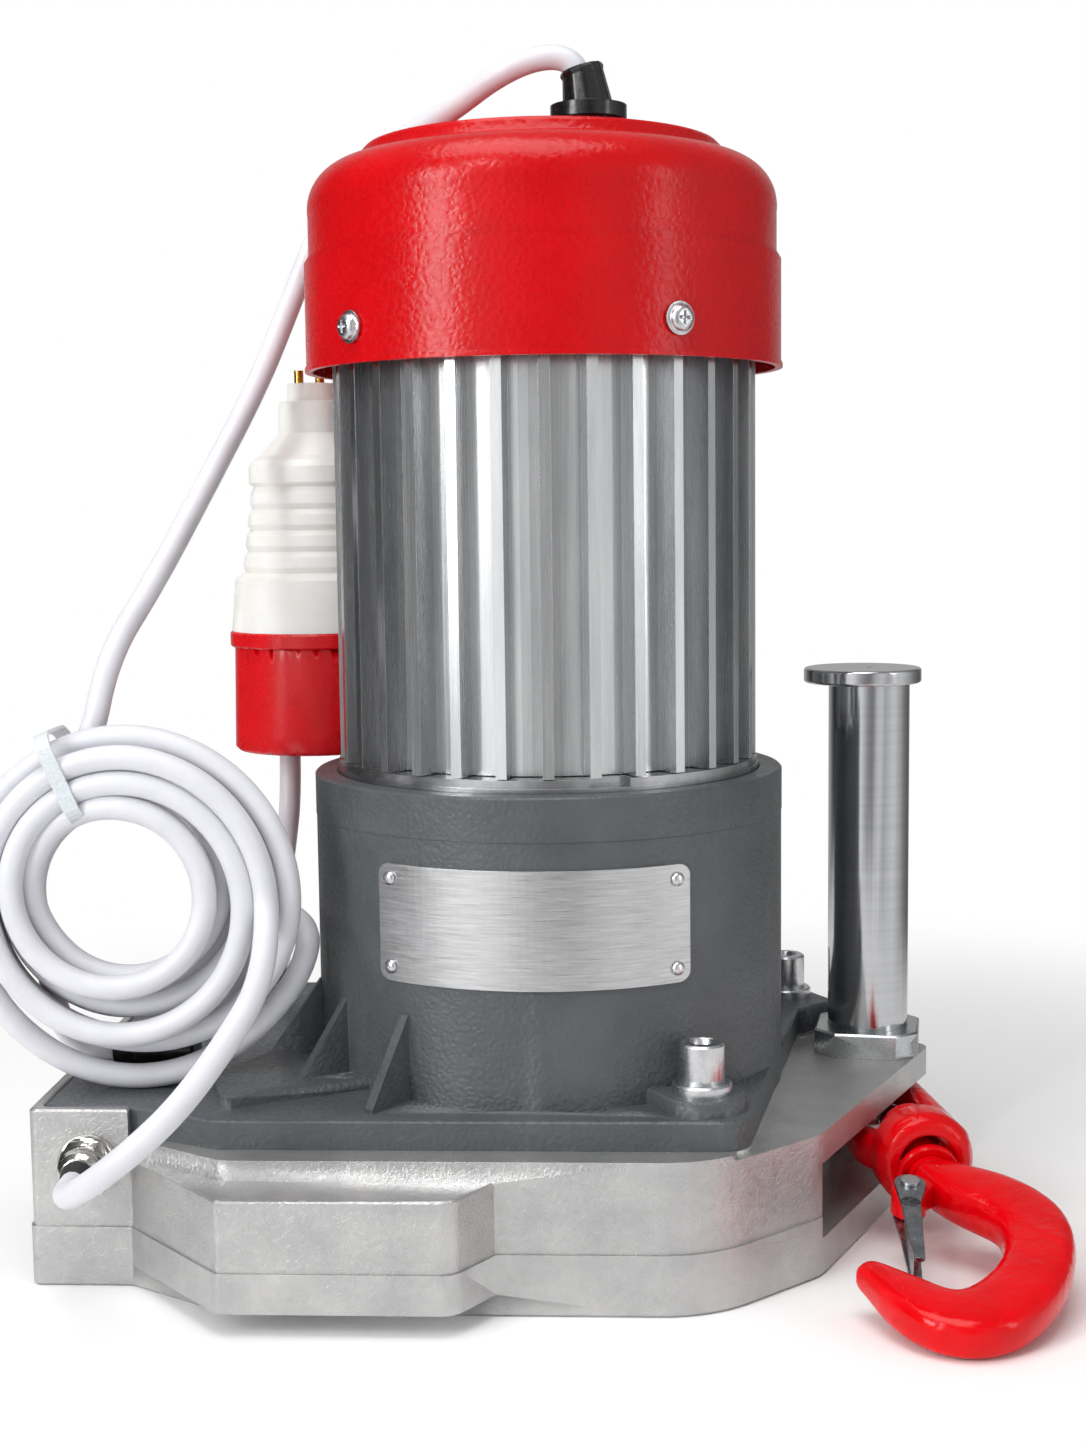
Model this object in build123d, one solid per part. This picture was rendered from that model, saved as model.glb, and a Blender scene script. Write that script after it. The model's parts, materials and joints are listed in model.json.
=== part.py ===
from build123d import *
from math import acos, atan2, cos, degrees, hypot, pi, radians, sin, tan
import os

# Electric material hoist, standing on the flat side of its gearbox.
# Millimetres. +Z up, floor at z = 0, the motor axis is x = y = 0, the pin and hook end points to +X
# and the front of the gearbox faces -Y.

# Gearbox housings
body_left = -182.0
body_front = -114.0
body_back = 106.0
split_height = 21.9
deck_height = 54.2
rim_rise = 10.3
end_block_right = -146.0
end_block_front = -90.0
end_wall = 4.0
front_box_front = -133.4
front_box_left = -106.0
front_box_right = -27.0
front_box_bottom = 8.0
front_box_drop = 7.2
lower_lip = 0.8
nose_corner_x = 153.0
nose_corner_y = 43.0
slot_wall = 100.0
slot_bottom = 14.0
slot_drop = 13.2
nose_step = 2.0
nose_step_x = 68.0
cavity_floor = 8.0
ceiling_drop = 6.7
cavity_left = -152.0
cavity_right = 20.0
cavity_front = -72.0
cavity_back = 84.0
chain_slot_width = 20.0
chain_slot_height = 22.0

# Motor casing, the grey casting that carries the motor
flange_thickness = 10.5
pad_rise = 4.0
casing_wall = 11.8
casing_height = 159.5
gear_clearance = 3.075
ring_wall = 8.8
ring_height = 15.9
gusset_angles = (-122.5, -144.5, -166.5)
gusset_thickness = 3.6
gusset_reach = 21.0
gusset_height = 31.0
boss_rise = 5.8
boss_radius = 15.0

# Nameplate, its sides given as angles round the casing
nameplate_left = -129.2
nameplate_right = -54.0
nameplate_drop = 9.7
nameplate_height = 42.3
nameplate_thickness = 1.2
rivet_inset_angle = 3.6
rivet_inset_height = 5.2

# Motor
motor_inset = 1.0
fin_height = 9.5
motor_wall = 8.5
fin_count = 30
fin_width = 4.0
fin_first_angle = -87.0
motor_rise = 4.9
motor_length = 155.7
spigot_height = 3.0
rim_notches = 5
rim_notch_first = -71.5
stator_rise = 31.7
stator_length = 88.0
rotor_radius = 37.5
air_gap = 0.5
shaft_radius = 10.0
neck_radius = 7.0
fan_inset = 19.7
fan_blades = 9
fan_hub_radius = 16.0
fan_rise = 16.0
lug_start = 50.0
lug_width = 13.0
lug_height = 9.5
fan_height = 24.0

# Brake and bearing plate
plate_thickness = 12.0
brake_radius = 60.0
brake_disc_thickness = 6.0
armature_thickness = 5.0
brake_travel = 0.9
magnet_height = 27.0
shield_thickness = 22.5

# Fan cover
cover_overlap = 10.0
cover_reach = 9.7
cover_wall = 2.2
skirt_height = 39.8
crown_inset = 1.7
crown_height = 57.0
shoulder_height = 77.8
cap_inset = 22.1
cap_thickness = 4.7
cover_screw_rise = 12.5
cover_screw_angles = (-189.0, -135.5, -55.9, 34.1, 124.1)

# Gears
motor_pinion_teeth = 14
counter_gear_teeth = 42
first_module = 1.5
counter_pinion_teeth = 14
load_gear_teeth = 38
second_module = 2.5
pressure_angle = 20.0
backlash = 0.3
counter_gear_drop = 22.0
counter_gear_width = 12.0
load_gear_bottom = 33.0
load_gear_width = 12.0
load_wheel_radius = 31.0
load_wheel_height = 21.0
chain_pitch_radius = 27.0
chain_pockets = 5
load_axis_x = -83.0
bearing_width = 5.5
bearing_radius = 13.0
motor_bearing_radius = 14.0
neck_bearing_radius = 10.0
gear_shaft_radius = 8.0

# Cap screws of the flange, and the screws under the gearbox
bolt_radius = 5.0
bolt_head_radius = 8.0
bolt_head_height = 14.0
bolt_socket = 4.6
bolt_depth = 16.2
collar_radius = 10.6
collar_height = 3.8
screw_radius = 4.0
screw_head_radius = 6.5
screw_head_top = 8.6
screw_socket = 3.4

# Suspension pin, nut and spacers
pin_x = 128.0
pin_y = 42.0
post_radius = 16.2
post_top = 209.0
head_radius = 23.5
head_thickness = 6.0
head_offset = -2.7
pin_radius = 9.5
nut_radius = 24.2
nut_height = 10.0
nut_flats = 41.4
spacer_radius = 17.0

# Bail, swivel hook and latch
bail_angle = 9.0
bail_height = 31.0
bail_thickness = 13.0
bail_inner_half_width = 12.6
bail_outer_half_width = 22.5
bow_setback = 2.5
hub_distance = 76.0
hub_radius = 18.5
hub_length = 22.0
hub_dome_radius = 14.5
hook_angle = 6.5
hook_droop = 12.0
shank_radius = 7.5
hook_nut_radius = 10.0
hook_nut_length = 9.0
latch_pivot_u = 31.0
latch_pivot_v = -11.5
latch_length = 50.0
latch_thickness = 1.6
latch_boss_radius = 6.5
latch_boss_half_width = 5.2
latch_pin_radius = 2.0

# Cords, glands and plug
cord_diameter = 10.0
coil_x = -149.0
coil_z = 132.0
coil_radius = 67.0
coil_hole_x = -153.0
coil_hole_z = 145.0
coil_hole_radius = 29.0
coil_front = -80.0
coil_back = -50.0
top_gland_x = 18.2
gland_height = 13.9
top_gland_y = -8.0
boot_height = 27.0
boot_lean = 2.2
boot_tilt = -15.0
base_gland_x = -160.5
base_gland_z = 44.5
plug_angle = 148.0
shroud_radius = 35.5
plug_ring_radius = 36.5
shroud_height = 43.0
plug_length = 150.8
running_gap = 0.05
seat_gap = 0.3

# Worked out from the sizes above
rim_height = deck_height + rim_rise
front_box_top = deck_height - front_box_drop
slot_top = deck_height - slot_drop
cavity_ceiling = deck_height - ceiling_drop
flange_top = deck_height + flange_thickness
pad_top = flange_top + pad_rise
boss_top = flange_top + boss_rise
ring_top = casing_height + ring_height
nameplate_top = casing_height - nameplate_drop
nameplate_bottom = nameplate_top - nameplate_height
motor_bottom = ring_top + motor_rise
motor_top = motor_bottom + motor_length
stator_bottom = motor_bottom + stator_rise
fan_bottom = motor_top + fan_rise
shield_top = motor_bottom - seat_gap
shield_bottom = shield_top - shield_thickness
magnet_bottom = shield_bottom - magnet_height
armature_bottom = magnet_bottom - brake_travel - armature_thickness
disc_bottom = armature_bottom - seat_gap - brake_disc_thickness
plate_top = disc_bottom - seat_gap
plate_bottom = plate_top - plate_thickness
counter_gear_bottom = plate_bottom - counter_gear_drop
first_distance = first_module * (motor_pinion_teeth + counter_gear_teeth) / 2
second_distance = second_module * (counter_pinion_teeth + load_gear_teeth) / 2
gear_reach = first_distance + first_module * (counter_gear_teeth / 2 + 0.95)
casing_bore = gear_reach + gear_clearance
casing_radius = casing_bore + casing_wall
plate_bore = casing_radius - ring_wall
motor_radius = plate_bore - motor_inset
groove_radius = motor_radius - fin_height
stator_seat = groove_radius - motor_wall
cover_radius = motor_radius + cover_reach
crown_radius = cover_radius - crown_inset
cap_radius = cover_radius - cap_inset
fan_radius = cover_radius - fan_inset
cover_bottom = motor_top - cover_overlap
skirt_top = cover_bottom + skirt_height
shoulder_start = cover_bottom + crown_height
shoulder_top = cover_bottom + shoulder_height
cap_top = shoulder_top + cap_thickness
cover_screw_height = cover_bottom + cover_screw_rise
stator_outer = stator_seat - running_gap
stator_bore = rotor_radius + air_gap
post_bottom = deck_height - nose_step
load_axis_y = pin_y - chain_pitch_radius
load_distance = hypot(load_axis_x, load_axis_y)
counter_angle = atan2(load_axis_y, load_axis_x) + acos(
    (first_distance**2 + load_distance**2 - second_distance**2) / (2 * first_distance * load_distance)
)
counter_x = first_distance * cos(counter_angle)
counter_y = first_distance * sin(counter_angle)
plug_distance = motor_radius + plug_ring_radius + seat_gap
plug_x = plug_distance * cos(radians(plug_angle))
plug_y = plug_distance * sin(radians(plug_angle))
plug_bottom = ring_top + seat_gap
plug_top = plug_bottom + plug_length


def slab(corners, bottom, top):
    """A plate from its outline, each corner given as x, y and its rounding."""
    outline = FilletPolyline(*[(x, y) for x, y, _ in corners], radius=[r for _, _, r in corners], close=True)
    return Pos(0, 0, bottom) * extrude(make_face(outline), top - bottom)


def disc(radius, bottom, top, x=0.0, y=0.0):
    return Pos(x, y, (bottom + top) / 2) * Cylinder(radius, top - bottom)


def ring(outer, inner, bottom, top, x=0.0, y=0.0):
    return disc(outer, bottom, top, x, y) - disc(inner, bottom - 1, top + 1, x, y)


def turned(profile):
    """A solid turned about Z from points given as radius and height."""
    face = make_face(Plane.XZ * Polyline(*profile, close=True))
    return revolve(face, Axis.Z)


def around(angle, piece):
    return Rot(0, 0, angle) * piece


def group(pieces):
    return Compound(children=[solid for piece in pieces for solid in piece.solids()])


def involute_gear(teeth, module, width, bore, first_tooth_angle):
    """A spur gear with flanks through three points of the involute, thinned by the backlash."""
    pitch = module * teeth / 2
    base = pitch * cos(radians(pressure_angle))
    tip = pitch + 0.95 * module
    root = pitch - 1.25 * module
    alpha = radians(pressure_angle)
    half_pitch_angle = pi / (2 * teeth) - backlash / (4 * pitch)

    def half_angle(radius):
        roll = acos(min(1.0, base / radius))
        return half_pitch_angle + (tan(alpha) - alpha) - (tan(roll) - roll)

    foot = max(base, root)
    radii = [foot, (foot + 2 * tip) / 3, tip]
    points = []
    for tooth in range(teeth):
        middle = radians(first_tooth_angle) + 2 * pi * tooth / teeth
        right = [(r, middle - half_angle(r)) for r in radii]
        left = [(r, middle + half_angle(r)) for r in reversed(radii)]
        flank = right + left
        if root < base:
            flank = [(root, right[0][1])] + flank + [(root, left[-1][1])]
        for radius, angle in flank:
            points.append((radius * cos(angle), radius * sin(angle)))
    face = make_face(Polyline(*points, close=True))
    if bore > 0:
        face = face - Circle(bore)
    return extrude(face, width)


def cord_radii(route):
    """The arc at each corner of a cord's route, as large as its two runs allow."""
    points = [Vector(*point) for point in route]
    radii = []
    for before, corner, after in zip(points, points[1:], points[2:]):
        first, second = corner - before, after - corner
        half_turn = radians(first.get_angle(second)) / 2
        radii.append(0.45 * min(first.length, second.length) / tan(half_turn))
    return radii


def cord(name, route):
    radii = cord_radii(route)
    print(name, "arc radii", [round(radius, 1) for radius in radii])
    path = FilletPolyline(*route, radius=radii)
    start = Vector(*route[0])
    section = Plane(start, z_dir=Vector(*route[1]) - start) * Circle(cord_diameter / 2)
    tube = sweep(section, path=path)
    print(name, "length", round(path.length, 1), "volume share",
          round(tube.volume / (path.length * pi * cord_diameter**2 / 4), 4))
    return tube


# Gearbox outlines

body_outline = [
    (body_left, end_block_front, 3),
    (end_block_right, end_block_front, 3),
    (front_box_left - 2, body_front, 8),
    (59, body_front, 45),
    (98.9, -76.3, 25),
    (nose_corner_x, nose_corner_y, 6),
    (112, 100, 18),
    (88, body_back, 20),
    (-136, body_back, 20),
    (body_left, 56, 12),
]
box_outline = [
    (end_block_right, end_block_front + 0.5, 1),
    (front_box_left, front_box_front, 3),
    (front_box_right, front_box_front, 8),
    (front_box_right + 14, body_front + 2, 8),
    (front_box_right + 20, body_front + 6, 1),
    (end_block_right + 20, end_block_front + 10, 1),
]
cavity_outline = [
    (cavity_left, cavity_front, 12),
    (cavity_right, cavity_front, 12),
    (cavity_right, cavity_back, 12),
    (cavity_left, cavity_back, 12),
]
nose_region = [(slot_wall, -300, 0), (300, -300, 0), (300, 300, 0), (slot_wall, 300, 0)]
flange_outline = [
    (body_left + end_wall + 0.4, end_block_front + end_wall + 0.4, 3),
    (end_block_right - 1, end_block_front + end_wall + 0.4, 3),
    (front_box_left - 6, -102, 12),
    (72, -102, 11),
    (100.5, 54, 0),
    (121, 64, 6),
    (101, 98, 10),
    (80, 102, 12),
    (-134, 102, 18),
    (body_left + end_wall + 0.4, 54, 9),
]
housing_screw_places = [(-172, -76), (-170, 40), (-30, -98), (80, -74), (88, 78), (-20, 96)]
chain_slots = [load_axis_y + chain_pitch_radius, load_axis_y - chain_pitch_radius]


def outside_casing(out, angle):
    """The place that stands this far outside the casing's wall, at this angle."""
    reach = casing_radius + out
    return reach * cos(radians(angle)), reach * sin(radians(angle))


flange_bolt_places = [outside_casing(12.13, -56.0), outside_casing(35.9, 39.5),
                      outside_casing(20.3, 124.3), outside_casing(67.3, 144.6)]


def chain_way():
    """The two ways through the end wall where the chain runs on and off the load wheel."""
    middle = load_gear_bottom - 2 - load_wheel_height / 2
    length = cavity_left - body_left + 20
    return [Pos(body_left - 4 + length / 2, y, middle) * Box(length, chain_slot_width, chain_slot_height)
            for y in chain_slots]


def grown(outline, amount):
    """The outline moved outwards by the same amount all round."""
    face = make_face(FilletPolyline(*[(x, y) for x, y, _ in outline],
                                    radius=[r for _, _, r in outline], close=True))
    return offset(face, amount)


def offset_slab(outline, amount, bottom, top):
    return Pos(0, 0, bottom) * extrude(grown(outline, amount), top - bottom)


def seat_height(index):
    """The first and third bolts stand on bosses, the others on the flange."""
    return boss_top if index in (0, 2) else flange_top


def make_lower_housing():
    base = extrude(grown(body_outline, lower_lip), split_height)
    base = chamfer(base.faces().sort_by(Axis.Z)[0].edges(), 1.0)
    box_face = grown(box_outline, lower_lip)
    base += Pos(0, 0, front_box_bottom) * extrude(box_face, split_height - front_box_bottom)
    base -= slab(nose_region, slot_bottom, split_height + 1)
    base -= slab(cavity_outline, cavity_floor, split_height + 1)
    for x, y in ((load_axis_x, load_axis_y), (counter_x, counter_y)):
        base -= disc(bearing_radius + running_gap, cavity_floor - bearing_width, cavity_floor + 1, x, y)
    base -= disc(pin_radius + 0.1, 3, split_height + 1, pin_x, pin_y)
    for x, y in housing_screw_places:
        base -= disc(screw_head_radius + 0.5, -1, screw_head_top, x, y)
        base -= disc(screw_radius + 0.3, 0, split_height + 1, x, y)
    for way in chain_way():
        base -= way
    return base


def make_upper_housing():
    top = slab(body_outline, split_height, deck_height)
    rim = slab(body_outline, deck_height - 1, rim_height)
    rim -= Pos(end_block_right + 500, 0, 0) * Box(1000, 900, 900)
    rim -= offset_slab(flange_outline, seat_gap, deck_height - 2, rim_height + 1)
    top += rim
    top = chamfer(top.faces().sort_by(Axis.Z)[-1].edges().filter_by(GeomType.LINE), 0.7)
    box = slab(box_outline, split_height, front_box_top)
    box = chamfer(box.faces().sort_by(Axis.Z)[-1].edges(), 0.8)
    top += box
    top -= slab(nose_region, split_height - 1, slot_top)
    lowered = Pos(nose_step_x + 200, 0, deck_height - nose_step + 10) * Box(400, 500, 20)
    top -= lowered - offset_slab(flange_outline, 0.5, deck_height - 5, deck_height + 5)
    top -= disc(nut_radius + 1.5, deck_height - nose_step, deck_height + 5, pin_x, pin_y)
    top -= slab(cavity_outline, split_height - 1, cavity_ceiling)
    seat = bearing_radius + running_gap
    top -= disc(seat, cavity_ceiling - 1, cavity_ceiling + bearing_width, load_axis_x, load_axis_y)
    top -= disc(seat, cavity_ceiling - 1, deck_height + 1, counter_x, counter_y)
    top -= disc(pin_radius + 0.1, slot_top - 1, deck_height + 1, pin_x, pin_y)
    for x, y in housing_screw_places:
        top -= disc(screw_radius + 0.05, split_height - 1, slot_top + 1, x, y)
    for x, y in flange_bolt_places:
        top -= disc(bolt_radius + 0.05, deck_height - bolt_depth - 3, deck_height + 1, x, y)
    top -= Pos(base_gland_x, end_block_front + 6, base_gland_z) * Rot(90, 0, 0) * Cylinder(8.05, 14)
    for way in chain_way():
        top -= way
    return top


# Motor casing


def make_gusset(angle):
    """A thin web from the flange up to the casing wall, standing along a radius."""
    inner, outer = casing_radius - 3, casing_radius + gusset_reach
    profile = Polyline((inner, flange_top - 1), (outer, flange_top - 1), (outer, flange_top + 1.5),
                       (casing_radius + 0.5, flange_top + gusset_height), (inner, flange_top + gusset_height),
                       close=True)
    web = extrude(make_face(Plane.XZ * profile), gusset_thickness / 2, both=True)
    return around(angle, web)


def make_boss(x, y, toward):
    """A raised pad round a flange bolt with a tail that runs to the casing."""
    tail = Pos(x + toward, y + 4) * Circle(2.5)
    outline = make_hull((Pos(x, y) * Circle(boss_radius)).edges() + tail.edges())
    pad = Pos(0, 0, flange_top - 0.5) * extrude(outline, boss_rise + 0.5)
    return chamfer(pad.faces().sort_by(Axis.Z)[-1].edges(), 0.8)


def make_motor_casing():
    flange = slab(flange_outline, deck_height, flange_top)
    flange -= disc(nut_radius + 3.6, deck_height - 1, flange_top + 1, pin_x, pin_y)
    flange = chamfer(flange.faces().sort_by(Axis.Z)[-1].edges(), 0.9)
    pad_outline = [(-112, -91, 3), (-60, -62, 1), (-60, 60, 1), (-116, 66, 4), (-127, 30, 4), (-122, -60, 4)]
    flange += slab(pad_outline, flange_top - 1, pad_top)
    flange += disc(casing_radius, deck_height, casing_height)
    for angle in gusset_angles:
        flange += make_gusset(angle)
    flange += make_boss(*flange_bolt_places[0], -17)
    flange += make_boss(*flange_bolt_places[2], 14)
    flange -= disc(casing_bore, deck_height - 1, plate_bottom)
    flange -= disc(plate_bore, plate_bottom, casing_height + 1)
    for x, y in flange_bolt_places:
        flange -= disc(bolt_radius + 0.3, deck_height - 1, boss_top + 1, x, y)
    return flange


def make_casing_ring():
    body = ring(casing_radius + 0.2, plate_bore, casing_height, ring_top)
    return chamfer(body.edges().group_by(Axis.Z)[-1], 0.8)


def make_drive_end_shield():
    rim, spigot = plate_bore - 0.1, shield_top - spigot_height
    floor, hub, bore = shield_bottom + 9, motor_bearing_radius + 6, shaft_radius + 4
    body = turned([(bore, shield_bottom), (rim, shield_bottom), (rim, spigot), (rim - 0.3, spigot),
                   (rim - 0.3, shield_top), (stator_seat, shield_top), (stator_seat - 4, floor),
                   (hub, floor), (hub, shield_top), (bore, shield_top)])
    body -= disc(motor_bearing_radius + running_gap, shield_top - bearing_width - 4, shield_top + 1)
    for notch in range(rim_notches):
        angle = rim_notch_first + 360 / rim_notches * notch
        body -= around(angle, Pos(plate_bore - 3, 0, shield_top) * Box(8, 15, 2 * spigot_height))
    return body


def make_motor_housing():
    section = Circle(groove_radius)
    for fin in range(fin_count):
        depth = motor_radius - groove_radius + 2
        web = Pos(motor_radius - depth / 2, 0) * Rectangle(depth, fin_width)
        section += Rot(0, 0, fin_first_angle + 360 / fin_count * fin) * web
    section -= Circle(stator_seat)
    return Pos(0, 0, motor_bottom) * extrude(section, motor_top - motor_bottom)


def make_fan_end_shield():
    bottom = motor_top + seat_gap
    top = bottom + lug_height
    body = disc(groove_radius, bottom, top)
    for angle in cover_screw_angles:
        reach = cover_radius - cover_wall - seat_gap
        lug = Box(reach - lug_start, lug_width, lug_height)
        lug = Pos((reach + lug_start) / 2, 0, (bottom + top) / 2) * lug
        lug -= Pos(reach - 8, 0, cover_screw_height) * Rot(0, 90, 0) * Cylinder(2.45, 30)
        body += around(angle, lug)
    body -= disc(shaft_radius + 2, bottom - 1, top + 1)
    return body - disc(motor_bearing_radius + running_gap, bottom - 1, bottom + bearing_width)


def make_fan_cover():
    outer = [(cover_radius + 0.6, cover_bottom), (cover_radius + 0.6, cover_bottom + 1.5),
             (cover_radius, cover_bottom + 2.5), (cover_radius, skirt_top), (crown_radius, skirt_top + 2.7),
             (crown_radius, shoulder_start)]
    shoulder = SagittaArc(outer[-1], (cap_radius + 2.4, shoulder_top - 0.9), -6.2)
    inside = cap_radius - cover_wall
    rise = [(cap_radius + 2.4, shoulder_top - 0.9), (cap_radius, shoulder_top + 0.6),
            (cap_radius, cap_top - 1.6), (cap_radius - 1.6, cap_top), (0, cap_top), (0, cap_top - cover_wall),
            (inside - 1, cap_top - cover_wall), (inside, shoulder_top - 2.2)]
    inner_shoulder = SagittaArc((crown_radius - cover_wall, shoulder_start), rise[-1], 5.6)
    skirt = [(crown_radius - cover_wall, shoulder_start), (crown_radius - cover_wall, skirt_top + 1),
             (cover_radius - cover_wall, skirt_top - 1), (cover_radius - cover_wall, cover_bottom), outer[0]]
    wire = Polyline(*outer) + shoulder + Polyline(*rise) + inner_shoulder + Polyline(*skirt)
    shell = revolve(make_face(Plane.XZ * wire), Axis.Z)
    shell -= disc(8.6, cap_top - 10, cap_top + 5, top_gland_x, top_gland_y)
    for angle in cover_screw_angles:
        shell -= around(angle, Pos(cover_radius, 0, cover_screw_height) * Rot(0, 90, 0) * Cylinder(2.9, 12))
    return shell


def make_cover_screws():
    """Pan head screws with a washer face, from the skirt into the lugs of the fan end shield."""
    face = cover_radius + 0.1
    profile = [(0, 0), (5.75, 0), (5.75, 1.1), (4.6, 1.3), (4.3, 2.8), (3.0, 3.9), (0, 4.1)]
    screws = []
    for angle in cover_screw_angles:
        screw = turned(profile) + disc(2.4, -14, 0)
        screw -= Pos(0, 0, 4.1) * (Box(0.9, 4.4, 3.0) + Box(4.4, 0.9, 3.0))
        screws.append(around(angle, Pos(face, 0, cover_screw_height) * Rot(0, 90, 0) * screw))
    return group(screws)


# Electric parts and brake


def make_stator_core():
    return ring(stator_outer, stator_bore, stator_bottom, stator_bottom + stator_length)


def make_stator_windings():
    """The end turns above and below the laminations."""
    outer, inner = stator_outer - 5, stator_bore + 5
    low = ring(outer, inner, stator_bottom - 18, stator_bottom - 0.1)
    high_start = stator_bottom + stator_length + 0.1
    high = ring(outer, inner, high_start, high_start + 18)
    return group([fillet(low.edges().group_by(Axis.Z)[0], 4), fillet(high.edges().group_by(Axis.Z)[-1], 4)])


def make_motor_bearings():
    bore = shaft_radius + running_gap
    low_top = shield_top - 0.2
    low = ring(motor_bearing_radius, bore, low_top - bearing_width - 3, low_top)
    high_bottom = motor_top + seat_gap
    high = ring(motor_bearing_radius, bore, high_bottom, high_bottom + bearing_width - 0.1)
    return group([low, high])


def make_motor_shaft():
    """Shaft with the first pinion cut on its lower end and a neck through the bearing plate."""
    bottom = counter_gear_bottom - 2
    width = counter_gear_width + 4
    pinion = involute_gear(motor_pinion_teeth, first_module, width, 0, degrees(counter_angle))
    pinion = Pos(0, 0, bottom) * pinion
    neck = disc(neck_radius, bottom + width - 1, plate_top + 2)
    return pinion + neck + disc(shaft_radius, plate_top + 1, fan_bottom + fan_height + 4)


def make_rotor_core():
    return ring(rotor_radius, shaft_radius, stator_bottom, stator_bottom + stator_length)


def make_cooling_fan():
    fan = ring(fan_radius, shaft_radius, fan_bottom, fan_bottom + 3)
    fan += ring(fan_hub_radius, shaft_radius, fan_bottom, fan_bottom + fan_height)
    for blade in range(fan_blades):
        length = fan_radius - fan_hub_radius + 2
        vane = Pos(fan_radius - length / 2, 0, fan_bottom + fan_height / 2) * Box(length, 2.5, fan_height)
        fan += around(360 / fan_blades * blade, vane)
    return fan


def make_brake_disc():
    return ring(brake_radius - 2, shaft_radius, disc_bottom, disc_bottom + brake_disc_thickness)


def make_brake_armature():
    return ring(brake_radius, shaft_radius + 8, armature_bottom, armature_bottom + armature_thickness)


def make_brake_magnet():
    body = ring(brake_radius + 2, shaft_radius + 8, magnet_bottom, shield_bottom)
    return body - ring(brake_radius - 10, brake_radius - 28, magnet_bottom - 1, magnet_bottom + 1.5)


def make_bearing_plate():
    plate = disc(plate_bore - 0.1, plate_bottom, plate_top)
    plate -= disc(neck_bearing_radius + running_gap, plate_bottom - 1, plate_top + 1)
    seat = bearing_radius + running_gap
    return plate - disc(seat, plate_bottom - 1, plate_bottom + bearing_width, counter_x, counter_y)


def make_gear_bearings():
    """Ring bearings of the motor shaft's lower end, the counter shaft and the load shaft."""
    bore = gear_shaft_radius + running_gap
    low = cavity_floor - bearing_width
    rings = [ring(neck_bearing_radius, neck_radius + running_gap, plate_bottom, plate_top)]
    for x, y in ((counter_x, counter_y), (load_axis_x, load_axis_y)):
        rings.append(ring(bearing_radius, bore, low, cavity_floor, x, y))
        rings.append(ring(bearing_radius, bore, cavity_ceiling, cavity_ceiling + bearing_width, x, y))
    rings.append(ring(bearing_radius, bore, plate_bottom, plate_bottom + bearing_width, counter_x, counter_y))
    return group(rings)


def make_counter_shaft():
    low = cavity_floor - bearing_width + 0.2
    shaft = disc(gear_shaft_radius, low, plate_bottom + bearing_width - 0.2, counter_x, counter_y)
    angle = degrees(atan2(load_axis_y - counter_y, load_axis_x - counter_x))
    pinion = involute_gear(counter_pinion_teeth, second_module, load_gear_width + 2, 0, angle)
    return shaft + Pos(counter_x, counter_y, load_gear_bottom - 1) * pinion


def make_counter_gear():
    angle = degrees(counter_angle) + 180 + 180 / counter_gear_teeth
    gear = involute_gear(counter_gear_teeth, first_module, counter_gear_width, gear_shaft_radius, angle)
    gear = Pos(counter_x, counter_y, counter_gear_bottom) * gear
    for hole in range(6):
        place = Pos(counter_x, counter_y, 0) * Rot(0, 0, 60 * hole) * Pos(20, 0, 0)
        gear -= place * disc(5, counter_gear_bottom - 1, counter_gear_bottom + counter_gear_width + 1)
    return gear


def make_load_shaft():
    low = cavity_floor - bearing_width + 0.2
    return disc(gear_shaft_radius, low, cavity_ceiling + bearing_width - 0.2, load_axis_x, load_axis_y)


def make_load_gear():
    angle = degrees(atan2(counter_y - load_axis_y, counter_x - load_axis_x)) + 180 / load_gear_teeth
    gear = involute_gear(load_gear_teeth, second_module, load_gear_width, gear_shaft_radius, angle)
    return Pos(load_axis_x, load_axis_y, load_gear_bottom) * gear


def make_load_wheel():
    """Pocket wheel: a groove for the upright links and a pocket for each flat link."""
    top = load_gear_bottom - 1
    bottom = top - load_wheel_height
    middle = (top + bottom) / 2
    wheel = disc(load_wheel_radius, bottom, top, load_axis_x, load_axis_y)
    groove = ring(load_wheel_radius + 2, load_wheel_radius - 11, -4, 4)
    wheel -= Pos(load_axis_x, load_axis_y, middle) * groove
    for pocket in range(chain_pockets):
        place = Pos(load_axis_x, load_axis_y, middle) * Rot(0, 0, 360 / chain_pockets * pocket)
        wheel -= place * Pos(load_wheel_radius - 1, 0, 0) * Box(10, 25, 16)
    return wheel - disc(gear_shaft_radius, bottom - 1, top + 1, load_axis_x, load_axis_y)


# Fasteners, nameplate


def make_flange_bolts():
    """Tall cap screws standing on collars."""
    bolts = []
    for index, (x, y) in enumerate(flange_bolt_places):
        seat = seat_height(index) + collar_height
        top = seat + bolt_head_height
        bolt = disc(bolt_head_radius, seat, top, x, y)
        bolt = chamfer(bolt.edges().group_by(Axis.Z)[-1], 0.8)
        bolt += disc(bolt_radius, deck_height - bolt_depth, seat + 1, x, y)
        socket = Pos(x, y, top - 6) * extrude(RegularPolygon(bolt_socket, 6), 8)
        bolts.append(bolt - socket)
    return group(bolts)


def make_bolt_collars():
    collars = []
    for index, (x, y) in enumerate(flange_bolt_places):
        base = seat_height(index)
        collar = ring(collar_radius, bolt_radius + 0.3, base, base + collar_height, x, y)
        collars.append(chamfer(collar.edges().group_by(Axis.Z)[-1].sort_by(SortBy.LENGTH)[-1], 0.7))
    return group(collars)


def make_housing_screws():
    screws = []
    for x, y in housing_screw_places:
        screw = disc(screw_head_radius, 0.6, screw_head_top, x, y)
        screw += disc(screw_radius, screw_head_top - 1, slot_top, x, y)
        screws.append(screw - Pos(x, y, 0) * extrude(RegularPolygon(screw_socket, 6), 5))
    return group(screws)


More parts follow.
